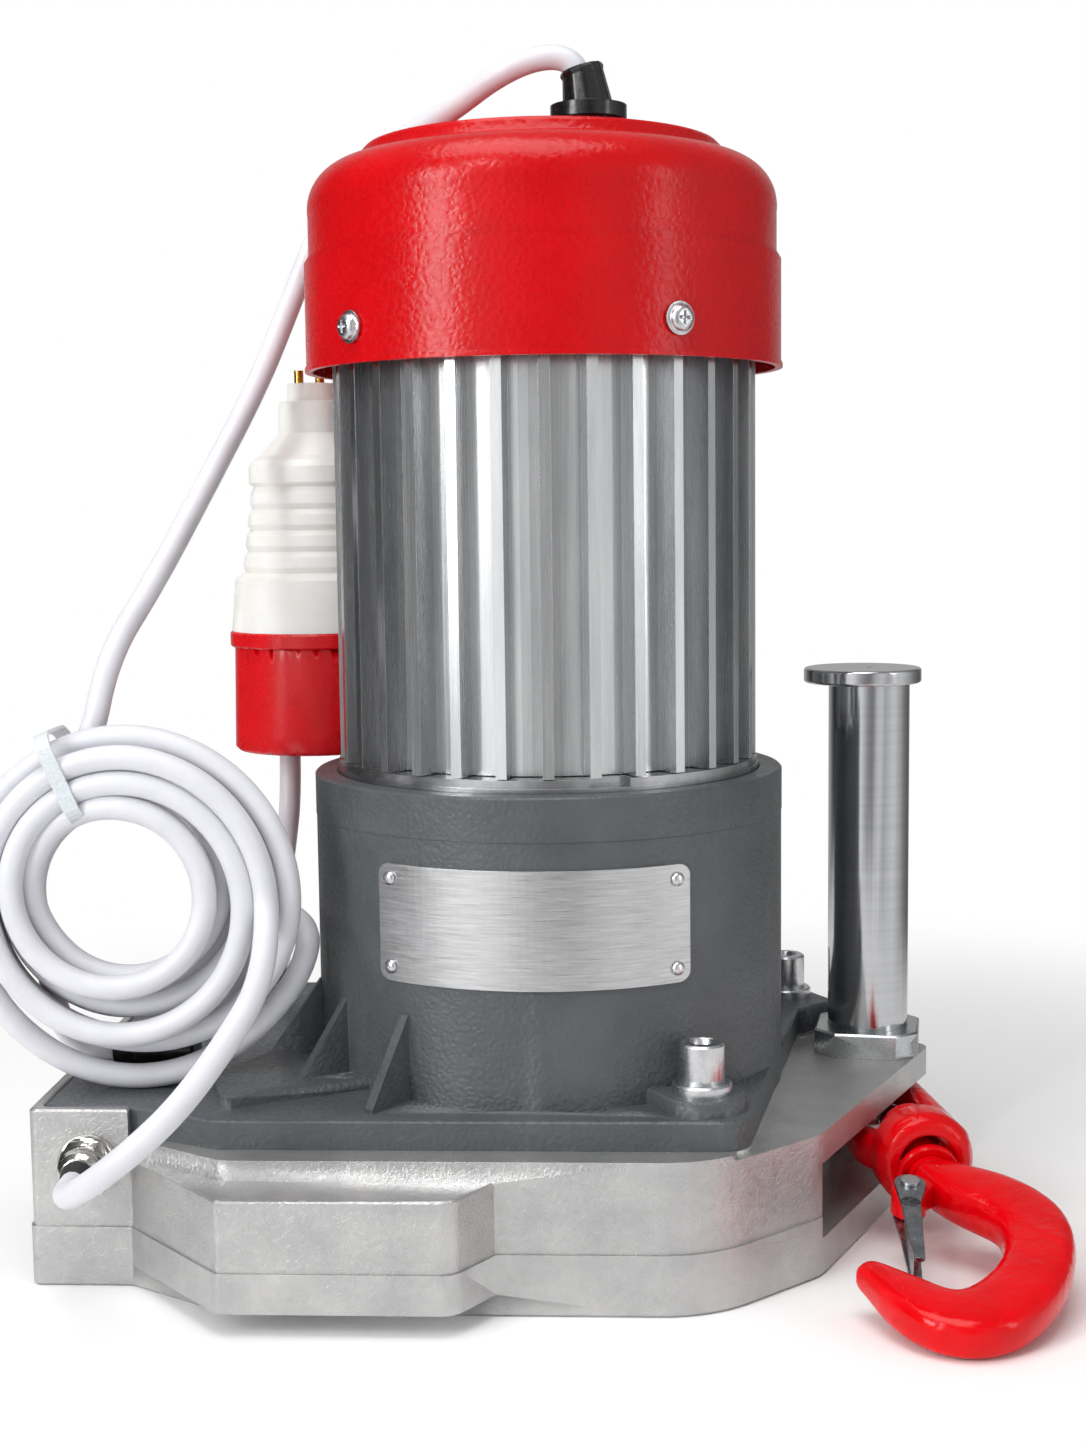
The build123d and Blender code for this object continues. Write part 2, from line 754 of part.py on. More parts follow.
def make_nameplate():
    """A bare plate bent round the casing."""
    shell = ring(casing_radius + nameplate_thickness, casing_radius + 0.05, nameplate_bottom, nameplate_top)
    width = 2 * casing_radius * sin(radians((nameplate_right - nameplate_left) / 2)) + nameplate_thickness
    window = fillet(Rectangle(width, nameplate_top - nameplate_bottom).vertices(), 4)
    place = Pos(0, 0, (nameplate_bottom + nameplate_top) / 2) * Rot(0, 90, 0) * Rot(0, 0, 90)
    return around((nameplate_left + nameplate_right) / 2, shell & (place * extrude(window, 200)))


def make_nameplate_rivets():
    rivets = []
    for angle in (nameplate_left + rivet_inset_angle, nameplate_right - rivet_inset_angle):
        for height in (nameplate_bottom + rivet_inset_height, nameplate_top - rivet_inset_height):
            dome = turned([(0, 0), (2.6, 0), (2.4, 0.9), (1.5, 1.7), (0, 2.0)])
            place = Pos(casing_radius + nameplate_thickness + 0.1, 0, height) * Rot(0, 90, 0)
            rivets.append(around(angle, place * dome))
    return group(rivets)


# Suspension pin, nut and spacers


def make_suspension_pin():
    """The post with its turned head, stepped down to the pin that carries the bail."""
    body = disc(post_radius, post_bottom + 0.1, post_top - 1, pin_x, pin_y)
    body += disc(pin_radius, 3.2, post_bottom + 1, pin_x, pin_y)
    head = disc(head_radius, post_top - head_thickness, post_top, pin_x + head_offset, pin_y)
    head = fillet(head.edges(), 1.2)
    centre = Pos(pin_x, pin_y, post_top) * Cone(0.2, 2.4, 2.2)
    return body + head - centre


def make_pin_nut():
    bottom = post_bottom + 0.05
    body = disc(nut_radius, bottom, bottom + nut_height)
    flats = Box(nut_flats, nut_flats, 60) & Rot(0, 0, 45) * Box(nut_flats * 1.125, nut_flats * 1.125, 60)
    body = body & (Rot(0, 0, -8.7) * Pos(0, 0, bottom) * flats)
    body = chamfer(body.edges().group_by(Axis.Z)[-1], 0.8)
    bore = disc(post_radius + running_gap, bottom - 1, bottom + nut_height + 1)
    return Pos(pin_x, pin_y, 0) * (body - bore)


def make_bail_spacers():
    half = bail_thickness / 2 + seat_gap
    low = ring(spacer_radius, pin_radius + running_gap, slot_bottom, bail_height - half, pin_x, pin_y)
    high = ring(spacer_radius, pin_radius + running_gap, bail_height + half, slot_top, pin_x, pin_y)
    return group([low, high])


# Bail, hook and latch. The bail is built along +X from the pin, then turned to its rest direction.

bail_place = Pos(pin_x, pin_y, bail_height) * Rot(0, 0, bail_angle - 90)
hub_centre = bail_place * Pos(hub_distance, 0, 0)
hook_direction = Vector(
    sin(radians(hook_angle)) * cos(radians(hook_droop)),
    -cos(radians(hook_angle)) * cos(radians(hook_droop)),
    -sin(radians(hook_droop)),
)
hook_side = Vector(cos(radians(hook_angle)), sin(radians(hook_angle)), 0)
hook_plane = Plane(hub_centre.position, x_dir=hook_direction, z_dir=hook_direction.cross(hook_side))


def make_bail():
    """A forged bow round the pin that runs into a bored hub."""
    reach = hub_distance + hub_length / 2 - bow_setback - bail_outer_half_width
    bow = SlotCenterToCenter(reach, 2 * bail_outer_half_width)
    outer = Pos(reach / 2, 0) * bow
    inner_reach = hub_distance - hub_length / 2 - bail_inner_half_width + 1
    inner = Pos(inner_reach / 2, 0) * SlotCenterToCenter(inner_reach, 2 * bail_inner_half_width)
    loop = extrude(outer - inner, bail_thickness / 2, both=True)
    loop = fillet(loop.edges().filter_by(Plane.XY), 4.5)
    dome = hub_dome_radius
    half = hub_length / 2
    hub = make_face(Polyline((-half, 0), (-half, dome * 0.62), (-half + 5, hub_radius - 2.5),
                             (-half + 8, hub_radius), (half - 5, hub_radius), (half - 1, hub_radius - 2.5),
                             (half, hub_radius - 5), (half, 0), close=True))
    hub = Pos(hub_distance, 0, 0) * revolve(hub, Axis.X)
    bore = make_face(Polyline((-half - 3, 0), (-half - 3, shank_radius + 4.5), (-half, shank_radius + 3.4),
                              (-2, shank_radius + 0.9), (2, shank_radius + 0.9), (half, shank_radius + 3.4),
                              (half + 3, shank_radius + 4.2), (half + 3, 0), close=True))
    body = loop - Pos(hub_distance, 0, 0) * Rot(0, 90, 0) * Cylinder(hub_radius - 4, hub_length)
    body = body + hub - Pos(hub_distance, 0, 0) * revolve(bore, Axis.X)
    clearance = Pos(hub_distance, 0, 0) * (Sphere(hub_dome_radius + 40) - Sphere(hub_dome_radius))
    nut_space = Pos(hub_distance - half - 5, 0, 0) * Rot(0, 90, 0) * Cylinder(hook_nut_radius + 4.5, 17)
    return bail_place * (body - (clearance & nut_space))


# Each row of the hook is a section: place along the load line, place across it, half width, half thickness
# and the direction that the steel runs in.
hook_sections = [
    (14.5, 0, 9.0, 9.0, 0),
    (22, 2, 10.5, 9.6, 25),
    (33, 13, 11.8, 10, 50),
    (45, 25, 13, 9.6, 32),
    (58, 31, 13.5, 9.2, 5),
    (74, 30, 13.5, 9, -18),
    (90, 21, 14, 9, -45),
    (103, 4, 14, 9, -75),
    (104, -12, 12.5, 8.8, -108),
    (94, -24, 9.5, 8, -140),
    (82, -30, 6.5, 6.5, -160),
    (74.5, -34, 3.6, 3.8, -150),
]


def hook_section(along, across, half_width, half_thickness, direction):
    run = Vector(cos(radians(direction)), sin(radians(direction)), 0)
    plane = Plane((along, across, 0), x_dir=(-run.Y, run.X, 0), z_dir=run)
    return plane * Ellipse(half_width, half_thickness)


def make_hook():
    """A forged hook lofted through its sections, with the shank that swivels in the bail."""
    body = loft([hook_section(*row) for row in hook_sections])
    tip_u, tip_v = hook_sections[-1][:2]
    body += Pos(tip_u, tip_v, 0) * Sphere(3.9)
    shank_start = -hub_dome_radius - hook_nut_length + 1
    shank = Pos((shank_start + 15.5) / 2, 0, 0) * Rot(0, 90, 0) * Cylinder(shank_radius, 15.5 - shank_start)
    boss = Pos(latch_pivot_u, latch_pivot_v, 0) * Cylinder(latch_boss_radius, 2 * latch_boss_half_width)
    root = Pos(latch_pivot_u - 4, latch_pivot_v + 5, 0) * Rot(0, 0, -50)
    body += shank + boss + root * Box(14, 10, 2 * latch_boss_half_width)
    body -= Pos(latch_pivot_u, latch_pivot_v, 0) * Cylinder(latch_pin_radius + running_gap, 40)
    return hook_plane.location * body


def make_hook_nut():
    """The shank nut, hollowed to sit on the hub's round end."""
    outer_end = -hub_dome_radius - hook_nut_length + 1
    inner_end = -hub_dome_radius * 0.62
    length = inner_end - outer_end
    nut = Pos((outer_end + inner_end) / 2, 0, 0) * Rot(0, 90, 0) * Cylinder(hook_nut_radius, length)
    nut = chamfer(nut.faces().sort_by(Axis.X)[0].edges(), 1.2)
    nut -= Sphere(hub_dome_radius + seat_gap)
    return hook_plane.location * (nut - Rot(0, 90, 0) * Cylinder(shank_radius, 90))


latch_angle = degrees(atan2(-20.0 - latch_pivot_v, 82.0 - latch_pivot_u))
latch_plane = hook_plane.location * Pos(latch_pivot_u, latch_pivot_v, 0) * Rot(0, 0, latch_angle)


def make_latch():
    """A folded sheet latch: two cheeks on the pin and a web that closes on the hook's point."""
    inside = latch_boss_half_width + seat_gap
    outside = inside + latch_thickness
    side = FilletPolyline((-5.2, -5), (5, -5.2), (16, -4), (latch_length, -2.6), (latch_length, 2.4), (16, 4),
                          (5, 5.2), (-5.2, 5), radius=[3, 2, 4, 1.5, 1.5, 4, 2, 3], close=True)
    body = extrude(make_face(side), outside, both=True) - Box(300, 300, 2 * inside)
    web = Pos((latch_length + 15) / 2, -3.0 + latch_thickness / 2 - 0.5, 0) * Box(
        latch_length - 15, latch_thickness, 2 * inside + 1)
    body = body + web
    body -= Cylinder(latch_pin_radius + running_gap, 60)
    return latch_plane * body


def make_latch_pin():
    half = latch_boss_half_width + seat_gap + latch_thickness
    pin = Cylinder(latch_pin_radius, 2 * half + 1)
    for side in (1, -1):
        pin += Pos(0, 0, side * (half + 0.7)) * Cylinder(3.3, 1.2)
    return hook_plane.location * Pos(latch_pivot_u, latch_pivot_v, 0) * pin


# Glands, cords and plug


def make_top_gland_base():
    top = cap_top + gland_height
    flange = turned([(0, cap_top), (17, cap_top), (17, cap_top + 2.5), (12.5, cap_top + 3.5),
                     (12.5, top - 5.2), (14.2, top - 5.2), (14.2, top), (0, top)])
    flange += disc(8.4, cap_top - 8, cap_top + 1)
    return Pos(top_gland_x, top_gland_y, 0) * flange


def make_top_gland_boot():
    """The slanted sleeve, bored to the cord along the first run of its route."""
    low = Pos(top_gland_x, top_gland_y, cap_top + gland_height) * Circle(8.9)
    mouth = Pos(top_gland_x - boot_lean, top_gland_y, cap_top + boot_height)
    sleeve = loft([low, mouth * Rot(0, boot_tilt, 0) * Circle(7.8)])
    start = Vector(*motor_route[0])
    way = Plane(start, z_dir=Vector(*motor_route[1]) - start)
    return sleeve - way * Pos(0, 0, 10) * Cylinder(cord_diameter / 2 + running_gap, 20)


def base_gland_part(profile):
    return Pos(base_gland_x, end_block_front, base_gland_z) * Rot(90, 0, 0) * turned(profile)


def make_base_gland_body():
    """The hexagon that screws into the end block."""
    body = base_gland_part([(0, 0), (11.2, 0), (11.2, 1.4), (8, 1.4), (8, 5.5), (0, 5.5)])
    hexagon = Pos(base_gland_x, end_block_front - 1.2, base_gland_z) * Rot(90, 0, 0) * extrude(
        RegularPolygon(10.8, 6), 4.3)
    stub = Pos(base_gland_x, end_block_front + 5.4, base_gland_z) * Rot(90, 0, 0) * Cylinder(8, 11.2)
    return body + hexagon + stub


def make_base_gland_nut():
    return base_gland_part([(0, 5.6), (8.9, 5.6), (8.9, 9.5), (8.4, 9.9), (8.2, 12), (6.4, 14.2), (0, 14.4)])


def make_plug_shroud():
    """The red sleeve of the plug, closed where the cord enters it."""
    top = plug_bottom + shroud_height
    shroud = turned([(0, plug_bottom), (shroud_radius - 1.5, plug_bottom), (shroud_radius, plug_bottom + 1.5),
                     (shroud_radius - 0.8, top), (0, top)])
    return Pos(plug_x, plug_y, 0) * shroud


def make_plug_ring():
    bottom = plug_bottom + shroud_height
    return Pos(plug_x, plug_y, 0) * chamfer(disc(plug_ring_radius, bottom, bottom + 6.5).edges(), 0.8)


def make_plug_body():
    """The white grip, from the skirt through the ribbed barrel and collar to the narrow neck."""
    low = plug_bottom + shroud_height + 6.5
    height = plug_top - low
    profile = [(0, 0), (shroud_radius + 0.2, 0), (shroud_radius - 1.6, 0.21 * height)]
    for rib in range(4):
        start = (0.24 + 0.085 * rib) * height
        radius = shroud_radius - 5.2 - 1.1 * rib
        profile += [(radius - 1.0, start), (radius, start + 2.2), (radius - 0.6, start + 6.5)]
    profile += [(25.2, 0.585 * height), (27.2, 0.60 * height), (27.2, 0.665 * height), (25.6, 0.69 * height),
                (22.5, 0.71 * height), (14.6, 0.80 * height), (14.2, 0.925 * height), (10.6, 0.93 * height),
                (10.4, height), (0, height)]
    return Pos(plug_x, plug_y, low) * turned(profile)


def make_plug_pins():
    return group([disc(1.9, plug_top, plug_top + 5.5, plug_x + dx, plug_y - 1) for dx in (-5.5, 3.2)])


# Each route is a list of points along a cord, from where it leaves its gland or plug to the coil.
motor_route = [
    (top_gland_x - 0.9, top_gland_y, cap_top + boot_height - 7),
    (14.3, -7.8, 436.6),
    (7.6, -7.2, 441.0),
    (-4.5, -5.4, 440.0),
    (-18, -1.0, 434.6),
    (-31, 6, 427),
    (-46, 16, 420),
    (-62.5, 28, 415),
    (-79.5, 40, 403),
    (-93.5, 46, 384),
    (-104.5, 46, 358),
    (-116.5, 35, 325),
    (-132.5, 9, 286),
    (-148, -19, 248),
    (-160, -44, 222),
    (-164, -58, 197.2),
]
plug_route = [
    (plug_x - 13.5, plug_y + 1, plug_bottom),
    (plug_x - 13.5, plug_y + 1, 155),
    (plug_x - 14, plug_y - 12, 135),
    (-112, 27, 121),
    (-104, -3, 117),
    (-94, -30, 121),
    (-90, coil_back, 122),
]
base_route = [
    (base_gland_x, end_block_front - 14.4, base_gland_z),
    (base_gland_x, end_block_front - 30.5, base_gland_z),
    (-154.4, -135.8, 48.75),
    (-143.5, -146, 56.9),
    (-129.5, -149, 68),
    (-114, -144.5, 82),
    (-101.5, -129.5, 99),
    (-94, -107, 113),
    (-92, coil_front, 117.5),
]


def make_cord_coil():
    """The outer shape of the loose coil, standing on the end block."""
    middle = (coil_front + coil_back) / 2
    outer = Pos(coil_x, middle, coil_z) * Rot(90, 0, 0) * Cylinder(coil_radius, coil_back - coil_front)
    hole = Pos(coil_hole_x, 0, coil_hole_z) * Rot(90, 0, 0) * Cylinder(coil_hole_radius, 400)
    return outer - hole


def make_signal_connector():
    """Round connector on the end of the second cord, lying on the flange behind the coil."""
    body = turned([(0, 0), (6, 0), (6, 8), (8, 9), (8, 30), (7, 31), (0, 31)])
    return Pos(coil_x - 14, coil_back + 10.5, pad_top - pad_rise + 8.3) * Rot(0, 90, 0) * body


nodes = {
    "lower_housing": make_lower_housing,
    "upper_housing": make_upper_housing,
    "motor_casing": make_motor_casing,
    "casing_ring": make_casing_ring,
    "drive_end_shield": make_drive_end_shield,
    "motor_housing": make_motor_housing,
    "fan_end_shield": make_fan_end_shield,
    "fan_cover": make_fan_cover,
    "cover_screws": make_cover_screws,
    "stator_core": make_stator_core,
    "stator_windings": make_stator_windings,
    "motor_bearings": make_motor_bearings,
    "motor_shaft": make_motor_shaft,
    "rotor_core": make_rotor_core,
    "cooling_fan": make_cooling_fan,
    "brake_disc": make_brake_disc,
    "brake_armature": make_brake_armature,
    "brake_magnet": make_brake_magnet,
    "bearing_plate": make_bearing_plate,
    "gear_bearings": make_gear_bearings,
    "counter_shaft": make_counter_shaft,
    "counter_gear": make_counter_gear,
    "load_shaft": make_load_shaft,
    "load_gear": make_load_gear,
    "load_wheel": make_load_wheel,
    "flange_bolts": make_flange_bolts,
    "bolt_collars": make_bolt_collars,
    "housing_screws": make_housing_screws,
    "nameplate": make_nameplate,
    "nameplate_rivets": make_nameplate_rivets,
    "suspension_pin": make_suspension_pin,
    "pin_nut": make_pin_nut,
    "bail_spacers": make_bail_spacers,
    "bail": make_bail,
    "hook": make_hook,
    "hook_nut": make_hook_nut,
    "latch": make_latch,
    "latch_pin": make_latch_pin,
    "top_gland_base": make_top_gland_base,
    "top_gland_boot": make_top_gland_boot,
    "base_gland_body": make_base_gland_body,
    "base_gland_nut": make_base_gland_nut,
    "plug_shroud": make_plug_shroud,
    "plug_ring": make_plug_ring,
    "plug_body": make_plug_body,
    "plug_pins": make_plug_pins,
    "motor_cord": lambda: cord("motor_cord", motor_route),
    "plug_cord": lambda: cord("plug_cord", plug_route),
    "base_cord": lambda: cord("base_cord", base_route),
    "cord_coil": make_cord_coil,
    "signal_connector": make_signal_connector,
}

os.makedirs("parts", exist_ok=True)
for node, build in nodes.items():
    export_step(build(), f"parts/{node}.step")
print("hub centre", hub_centre.position, "hook direction", hook_direction, "hook side", hook_side)
print("hook lowest", make_hook().bounding_box().min)
print("counter axis", counter_x, counter_y, "latch angle", latch_angle, "plug", plug_x, plug_y)
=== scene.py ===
import json
import math

import bmesh
import bpy
from mathutils import Matrix, Vector


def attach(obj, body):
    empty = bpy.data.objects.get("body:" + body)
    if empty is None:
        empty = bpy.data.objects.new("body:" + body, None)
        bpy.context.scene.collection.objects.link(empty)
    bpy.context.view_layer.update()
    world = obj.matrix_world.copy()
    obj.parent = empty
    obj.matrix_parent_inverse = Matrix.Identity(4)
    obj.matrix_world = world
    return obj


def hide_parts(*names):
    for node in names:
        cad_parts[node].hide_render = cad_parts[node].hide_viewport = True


# Looks of an electric material hoist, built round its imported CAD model.
# Metres, +Z up, the motor axis on x = y = 0, the hook end towards +X, the front towards -Y.

MM = 0.001
MM_PER_METRE = 1000

# Camera, found from the round edges and the upright edges of the object
PHOTO_WIDTH = 1086
PHOTO_HEIGHT = 1448
SENSOR_MM = 36.0
LENS_MM = 50.0
CAMERA_DISTANCE = 0.775
CAMERA_HEIGHT = 0.2753
CAMERA_TURN_DEG = 3.0
CAMERA_PITCH_DEG = 6.19
CAMERA_ROLL_DEG = -0.7
MOTOR_AXIS_PX = 548

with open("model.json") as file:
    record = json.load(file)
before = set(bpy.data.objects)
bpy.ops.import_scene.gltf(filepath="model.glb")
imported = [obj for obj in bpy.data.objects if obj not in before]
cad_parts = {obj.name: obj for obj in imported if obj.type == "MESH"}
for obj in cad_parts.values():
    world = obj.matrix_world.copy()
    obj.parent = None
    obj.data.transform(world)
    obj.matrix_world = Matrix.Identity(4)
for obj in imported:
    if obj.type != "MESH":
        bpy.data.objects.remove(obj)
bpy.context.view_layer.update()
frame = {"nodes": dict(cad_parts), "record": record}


# Shared helpers


def linear(hex_colour):
    """An sRGB hex colour as the linear RGBA that shaders take."""
    channels = [int(hex_colour[i:i + 2], 16) / 255 for i in (1, 3, 5)]
    straight = [c / 12.92 if c <= 0.04045 else ((c + 0.055) / 1.055) ** 2.4 for c in channels]
    return tuple(straight) + (1.0,)


def add(tree, kind, settings=None, links=None):
    """Adds a node, gives its sockets or properties their values and links its inputs."""
    node = tree.nodes.new(kind)
    for name, value in (settings or {}).items():
        if isinstance(name, int) or name in node.inputs:
            node.inputs[name].default_value = value
        else:
            setattr(node, name, value)
    for name, socket in (links or {}).items():
        tree.links.new(socket, node.inputs[name])
    return node


def new_material(name, **sockets):
    """A material with one principled shader, and the object coordinates in millimetres."""
    material = bpy.data.materials.new(name)
    material.use_nodes = True
    tree = material.node_tree
    tree.nodes.clear()
    settings = {key.replace("_", " "): value for key, value in sockets.items()}
    shader = add(tree, "ShaderNodeBsdfPrincipled", settings)
    add(tree, "ShaderNodeOutputMaterial", links={"Surface": shader.outputs["BSDF"]})
    place = add(tree, "ShaderNodeTexCoord")
    scaled = add(tree, "ShaderNodeMapping", {"Scale": (MM_PER_METRE,) * 3},
                 {"Vector": place.outputs["Object"]})
    return material, tree, shader, scaled.outputs["Vector"]


# Most of a noise lies between these values, and a colour or roughness runs its range between them.
NOISE_LOW = 0.3
NOISE_HIGH = 0.7
EDGE_SAMPLES = 4


def dress(tree, shader, pattern, clouds, colours, roughness, height_mm, strength, edge_mm):
    """Colour from the clouds, roughness and relief from the pattern, sharp edges a little round."""
    span = {"From Min": NOISE_LOW, "From Max": NOISE_HIGH}
    tone = add(tree, "ShaderNodeMapRange", span, {"Value": clouds})
    colour = add(tree, "ShaderNodeMix",
                 {"data_type": "RGBA", 6: linear(colours[0]), 7: linear(colours[1])},
                 {0: tone.outputs["Result"]})
    sheen = add(tree, "ShaderNodeMapRange",
                {**span, "To Min": roughness[0], "To Max": roughness[1]}, {"Value": pattern})
    edge = add(tree, "ShaderNodeBevel", {"samples": EDGE_SAMPLES, "Radius": edge_mm * MM})
    relief = add(tree, "ShaderNodeBump", {"Strength": strength, "Distance": height_mm * MM},
                 {"Height": pattern, "Normal": edge.outputs["Normal"]})
    tree.links.new(colour.outputs[2], shader.inputs["Base Color"])
    tree.links.new(sheen.outputs["Result"], shader.inputs["Roughness"])
    tree.links.new(relief.outputs["Normal"], shader.inputs["Normal"])


# Materials. Noise scale is one over the size of its lumps in millimetres.


def cast_aluminium():
    """Sand-cast aluminium, shot blasted: pale, half matt, with a shallow wormy skin of 2.6 mm."""
    material, tree, shader, mm = new_material("cast aluminium", Metallic=0.82)
    worms = add(tree, "ShaderNodeTexNoise",
                {"Scale": 1 / 2.6, "Detail": 3, "Roughness": 0.6, "Distortion": 2.2},
                {"Vector": mm})
    clouds = add(tree, "ShaderNodeTexNoise",
                 {"Scale": 1 / 26, "Detail": 5, "Roughness": 0.65}, {"Vector": mm})
    dress(tree, shader, worms.outputs["Fac"], clouds.outputs["Fac"],
          colours=("#B0B0B0", "#C8C7C6"), roughness=(0.32, 0.50),
          height_mm=0.35, strength=0.9, edge_mm=0.4)
    return material


def grey_paint():
    """Dark grey wrinkle paint baked on cast iron: leathery wrinkles about 1.8 mm across."""
    material, tree, shader, mm = new_material("grey wrinkle paint", Metallic=0.0)
    bend = add(tree, "ShaderNodeTexNoise", {"Scale": 1 / 3.0, "Detail": 2}, {"Vector": mm})
    bent = add(tree, "ShaderNodeVectorMath", {"operation": "MULTIPLY_ADD", 1: (2.2, 2.2, 2.2)},
               {0: bend.outputs["Color"], 2: mm})
    cells = add(tree, "ShaderNodeTexVoronoi",
                {"feature": "SMOOTH_F1", "Scale": 1 / 1.8, "Smoothness": 0.5},
                {"Vector": bent.outputs["Vector"]})
    clouds = add(tree, "ShaderNodeTexNoise",
                 {"Scale": 1 / 30, "Detail": 4, "Roughness": 0.6}, {"Vector": mm})
    dress(tree, shader, cells.outputs["Distance"], clouds.outputs["Fac"],
          colours=("#484C4F", "#575B5E"), roughness=(0.34, 0.48),
          height_mm=0.3, strength=0.75, edge_mm=0.5)
    return material


def extruded_aluminium():
    """Extruded aluminium, mill finish: bright, with die lines 0.6 mm apart that run up the fins."""
    material, tree, shader, mm = new_material("extruded aluminium", Metallic=1.0)
    upright = add(tree, "ShaderNodeMapping", {"Scale": (1, 1, 0.01)}, {"Vector": mm})
    lines = add(tree, "ShaderNodeTexNoise", {"Scale": 1 / 0.6, "Detail": 3, "Roughness": 0.6},
                {"Vector": upright.outputs["Vector"]})
    streaks = add(tree, "ShaderNodeMapping", {"Scale": (1, 1, 0.12)}, {"Vector": mm})
    clouds = add(tree, "ShaderNodeTexNoise", {"Scale": 1 / 7, "Detail": 4, "Roughness": 0.6},
                 {"Vector": streaks.outputs["Vector"]})
    dress(tree, shader, lines.outputs["Fac"], clouds.outputs["Fac"],
          colours=("#C8CACC", "#DCDDDE"), roughness=(0.20, 0.30),
          height_mm=0.02, strength=0.4, edge_mm=0.15)
    return material


def turned_aluminium():
    """Turned aluminium: polished bright, with fine tool rings 0.5 mm apart up the motor axis."""
    material, tree, shader, mm = new_material("turned aluminium", Metallic=1.0)
    level = add(tree, "ShaderNodeMapping", {"Scale": (0.03, 0.03, 1)}, {"Vector": mm})
    rings = add(tree, "ShaderNodeTexNoise",
                {"Scale": 1 / 0.5, "Detail": 2}, {"Vector": level.outputs["Vector"]})
    clouds = add(tree, "ShaderNodeTexNoise", {"Scale": 1 / 6, "Detail": 3}, {"Vector": mm})
    dress(tree, shader, rings.outputs["Fac"], clouds.outputs["Fac"],
          colours=("#A4A5A7", "#B9BABB"), roughness=(0.20, 0.30),
          height_mm=0.01, strength=0.3, edge_mm=0.1)
    return material


def red_paint():
    """Red powder coat on pressed steel: satin, its leathery skin in cells about 2 mm across."""
    material, tree, shader, mm = new_material("red powder coat", Specular_IOR_Level=0.25)
    bend = add(tree, "ShaderNodeTexNoise", {"Scale": 1 / 3.5, "Detail": 2}, {"Vector": mm})
    bent = add(tree, "ShaderNodeVectorMath", {"operation": "MULTIPLY_ADD", 1: (2.6, 2.6, 2.6)},
               {0: bend.outputs["Color"], 2: mm})
    cells = add(tree, "ShaderNodeTexVoronoi",
                {"feature": "SMOOTH_F1", "Scale": 1 / 2.0, "Smoothness": 0.6},
                {"Vector": bent.outputs["Vector"]})
    clouds = add(tree, "ShaderNodeTexNoise", {"Scale": 1 / 26, "Detail": 2}, {"Vector": mm})
    dress(tree, shader, cells.outputs["Distance"], clouds.outputs["Fac"],
          colours=("#BC0008", "#C6020B"), roughness=(0.20, 0.29),
          height_mm=0.22, strength=0.55, edge_mm=0.35)
    return material


def zinc_steel():
    """Bright zinc plated steel, as on cap screws: silvery, with slight clouding 4 mm across."""
    material, tree, shader, mm = new_material("bright zinc plate", Metallic=1.0)
    grain = add(tree, "ShaderNodeTexNoise", {"Scale": 1 / 1.2, "Detail": 3}, {"Vector": mm})
    clouds = add(tree, "ShaderNodeTexNoise", {"Scale": 1 / 4, "Detail": 3}, {"Vector": mm})
    dress(tree, shader, grain.outputs["Fac"], clouds.outputs["Fac"],
          colours=("#C6C7CA", "#D6D7D8"), roughness=(0.26, 0.32),
          height_mm=0.01, strength=0.1, edge_mm=0.2)
    return material


def polished_steel():
    """Ground and polished steel bar: sharp reflections, and faint grinding rings 0.5 mm apart."""
    material, tree, shader, mm = new_material("polished steel", Metallic=1.0)
    level = add(tree, "ShaderNodeMapping", {"Scale": (0.02, 0.02, 1)}, {"Vector": mm})
    rings = add(tree, "ShaderNodeTexNoise", {"Scale": 1 / 0.5, "Detail": 4, "Roughness": 0.7},
                {"Vector": level.outputs["Vector"]})
    clouds = add(tree, "ShaderNodeTexNoise",
                 {"Scale": 1 / 2.5, "Detail": 3}, {"Vector": level.outputs["Vector"]})
    dress(tree, shader, rings.outputs["Fac"], clouds.outputs["Fac"],
          colours=("#B8B9BB", "#C2C3C5"), roughness=(0.13, 0.16),
          height_mm=0.002, strength=0.12, edge_mm=0.4)
    return material


def satin_steel():
    """Milled steel nut, zinc passivated: satin, with a fine even grain of 0.6 mm."""
    material, tree, shader, mm = new_material("satin zinc passivated steel", Metallic=1.0)
    grain = add(tree, "ShaderNodeTexNoise", {"Scale": 1 / 0.6, "Detail": 3}, {"Vector": mm})
    clouds = add(tree, "ShaderNodeTexNoise", {"Scale": 1 / 8, "Detail": 3}, {"Vector": mm})
    dress(tree, shader, grain.outputs["Fac"], clouds.outputs["Fac"],
          colours=("#B3B5B7", "#C1C3C4"), roughness=(0.24, 0.32),
          height_mm=0.01, strength=0.3, edge_mm=0.3)
    return material


def bright_nickel():
    """Nickel plated brass: mirror bright, a warm grey, with faint cloudy patches 3 mm across."""
    material, tree, shader, mm = new_material("nickel plate", Metallic=1.0)
    grain = add(tree, "ShaderNodeTexNoise", {"Scale": 1 / 1.5, "Detail": 2}, {"Vector": mm})
    clouds = add(tree, "ShaderNodeTexNoise", {"Scale": 1 / 3, "Detail": 2}, {"Vector": mm})
    dress(tree, shader, grain.outputs["Fac"], clouds.outputs["Fac"],
          colours=("#BDBBB7", "#D2D0CC"), roughness=(0.08, 0.18),
          height_mm=0.01, strength=0.3, edge_mm=0.4)
    return material


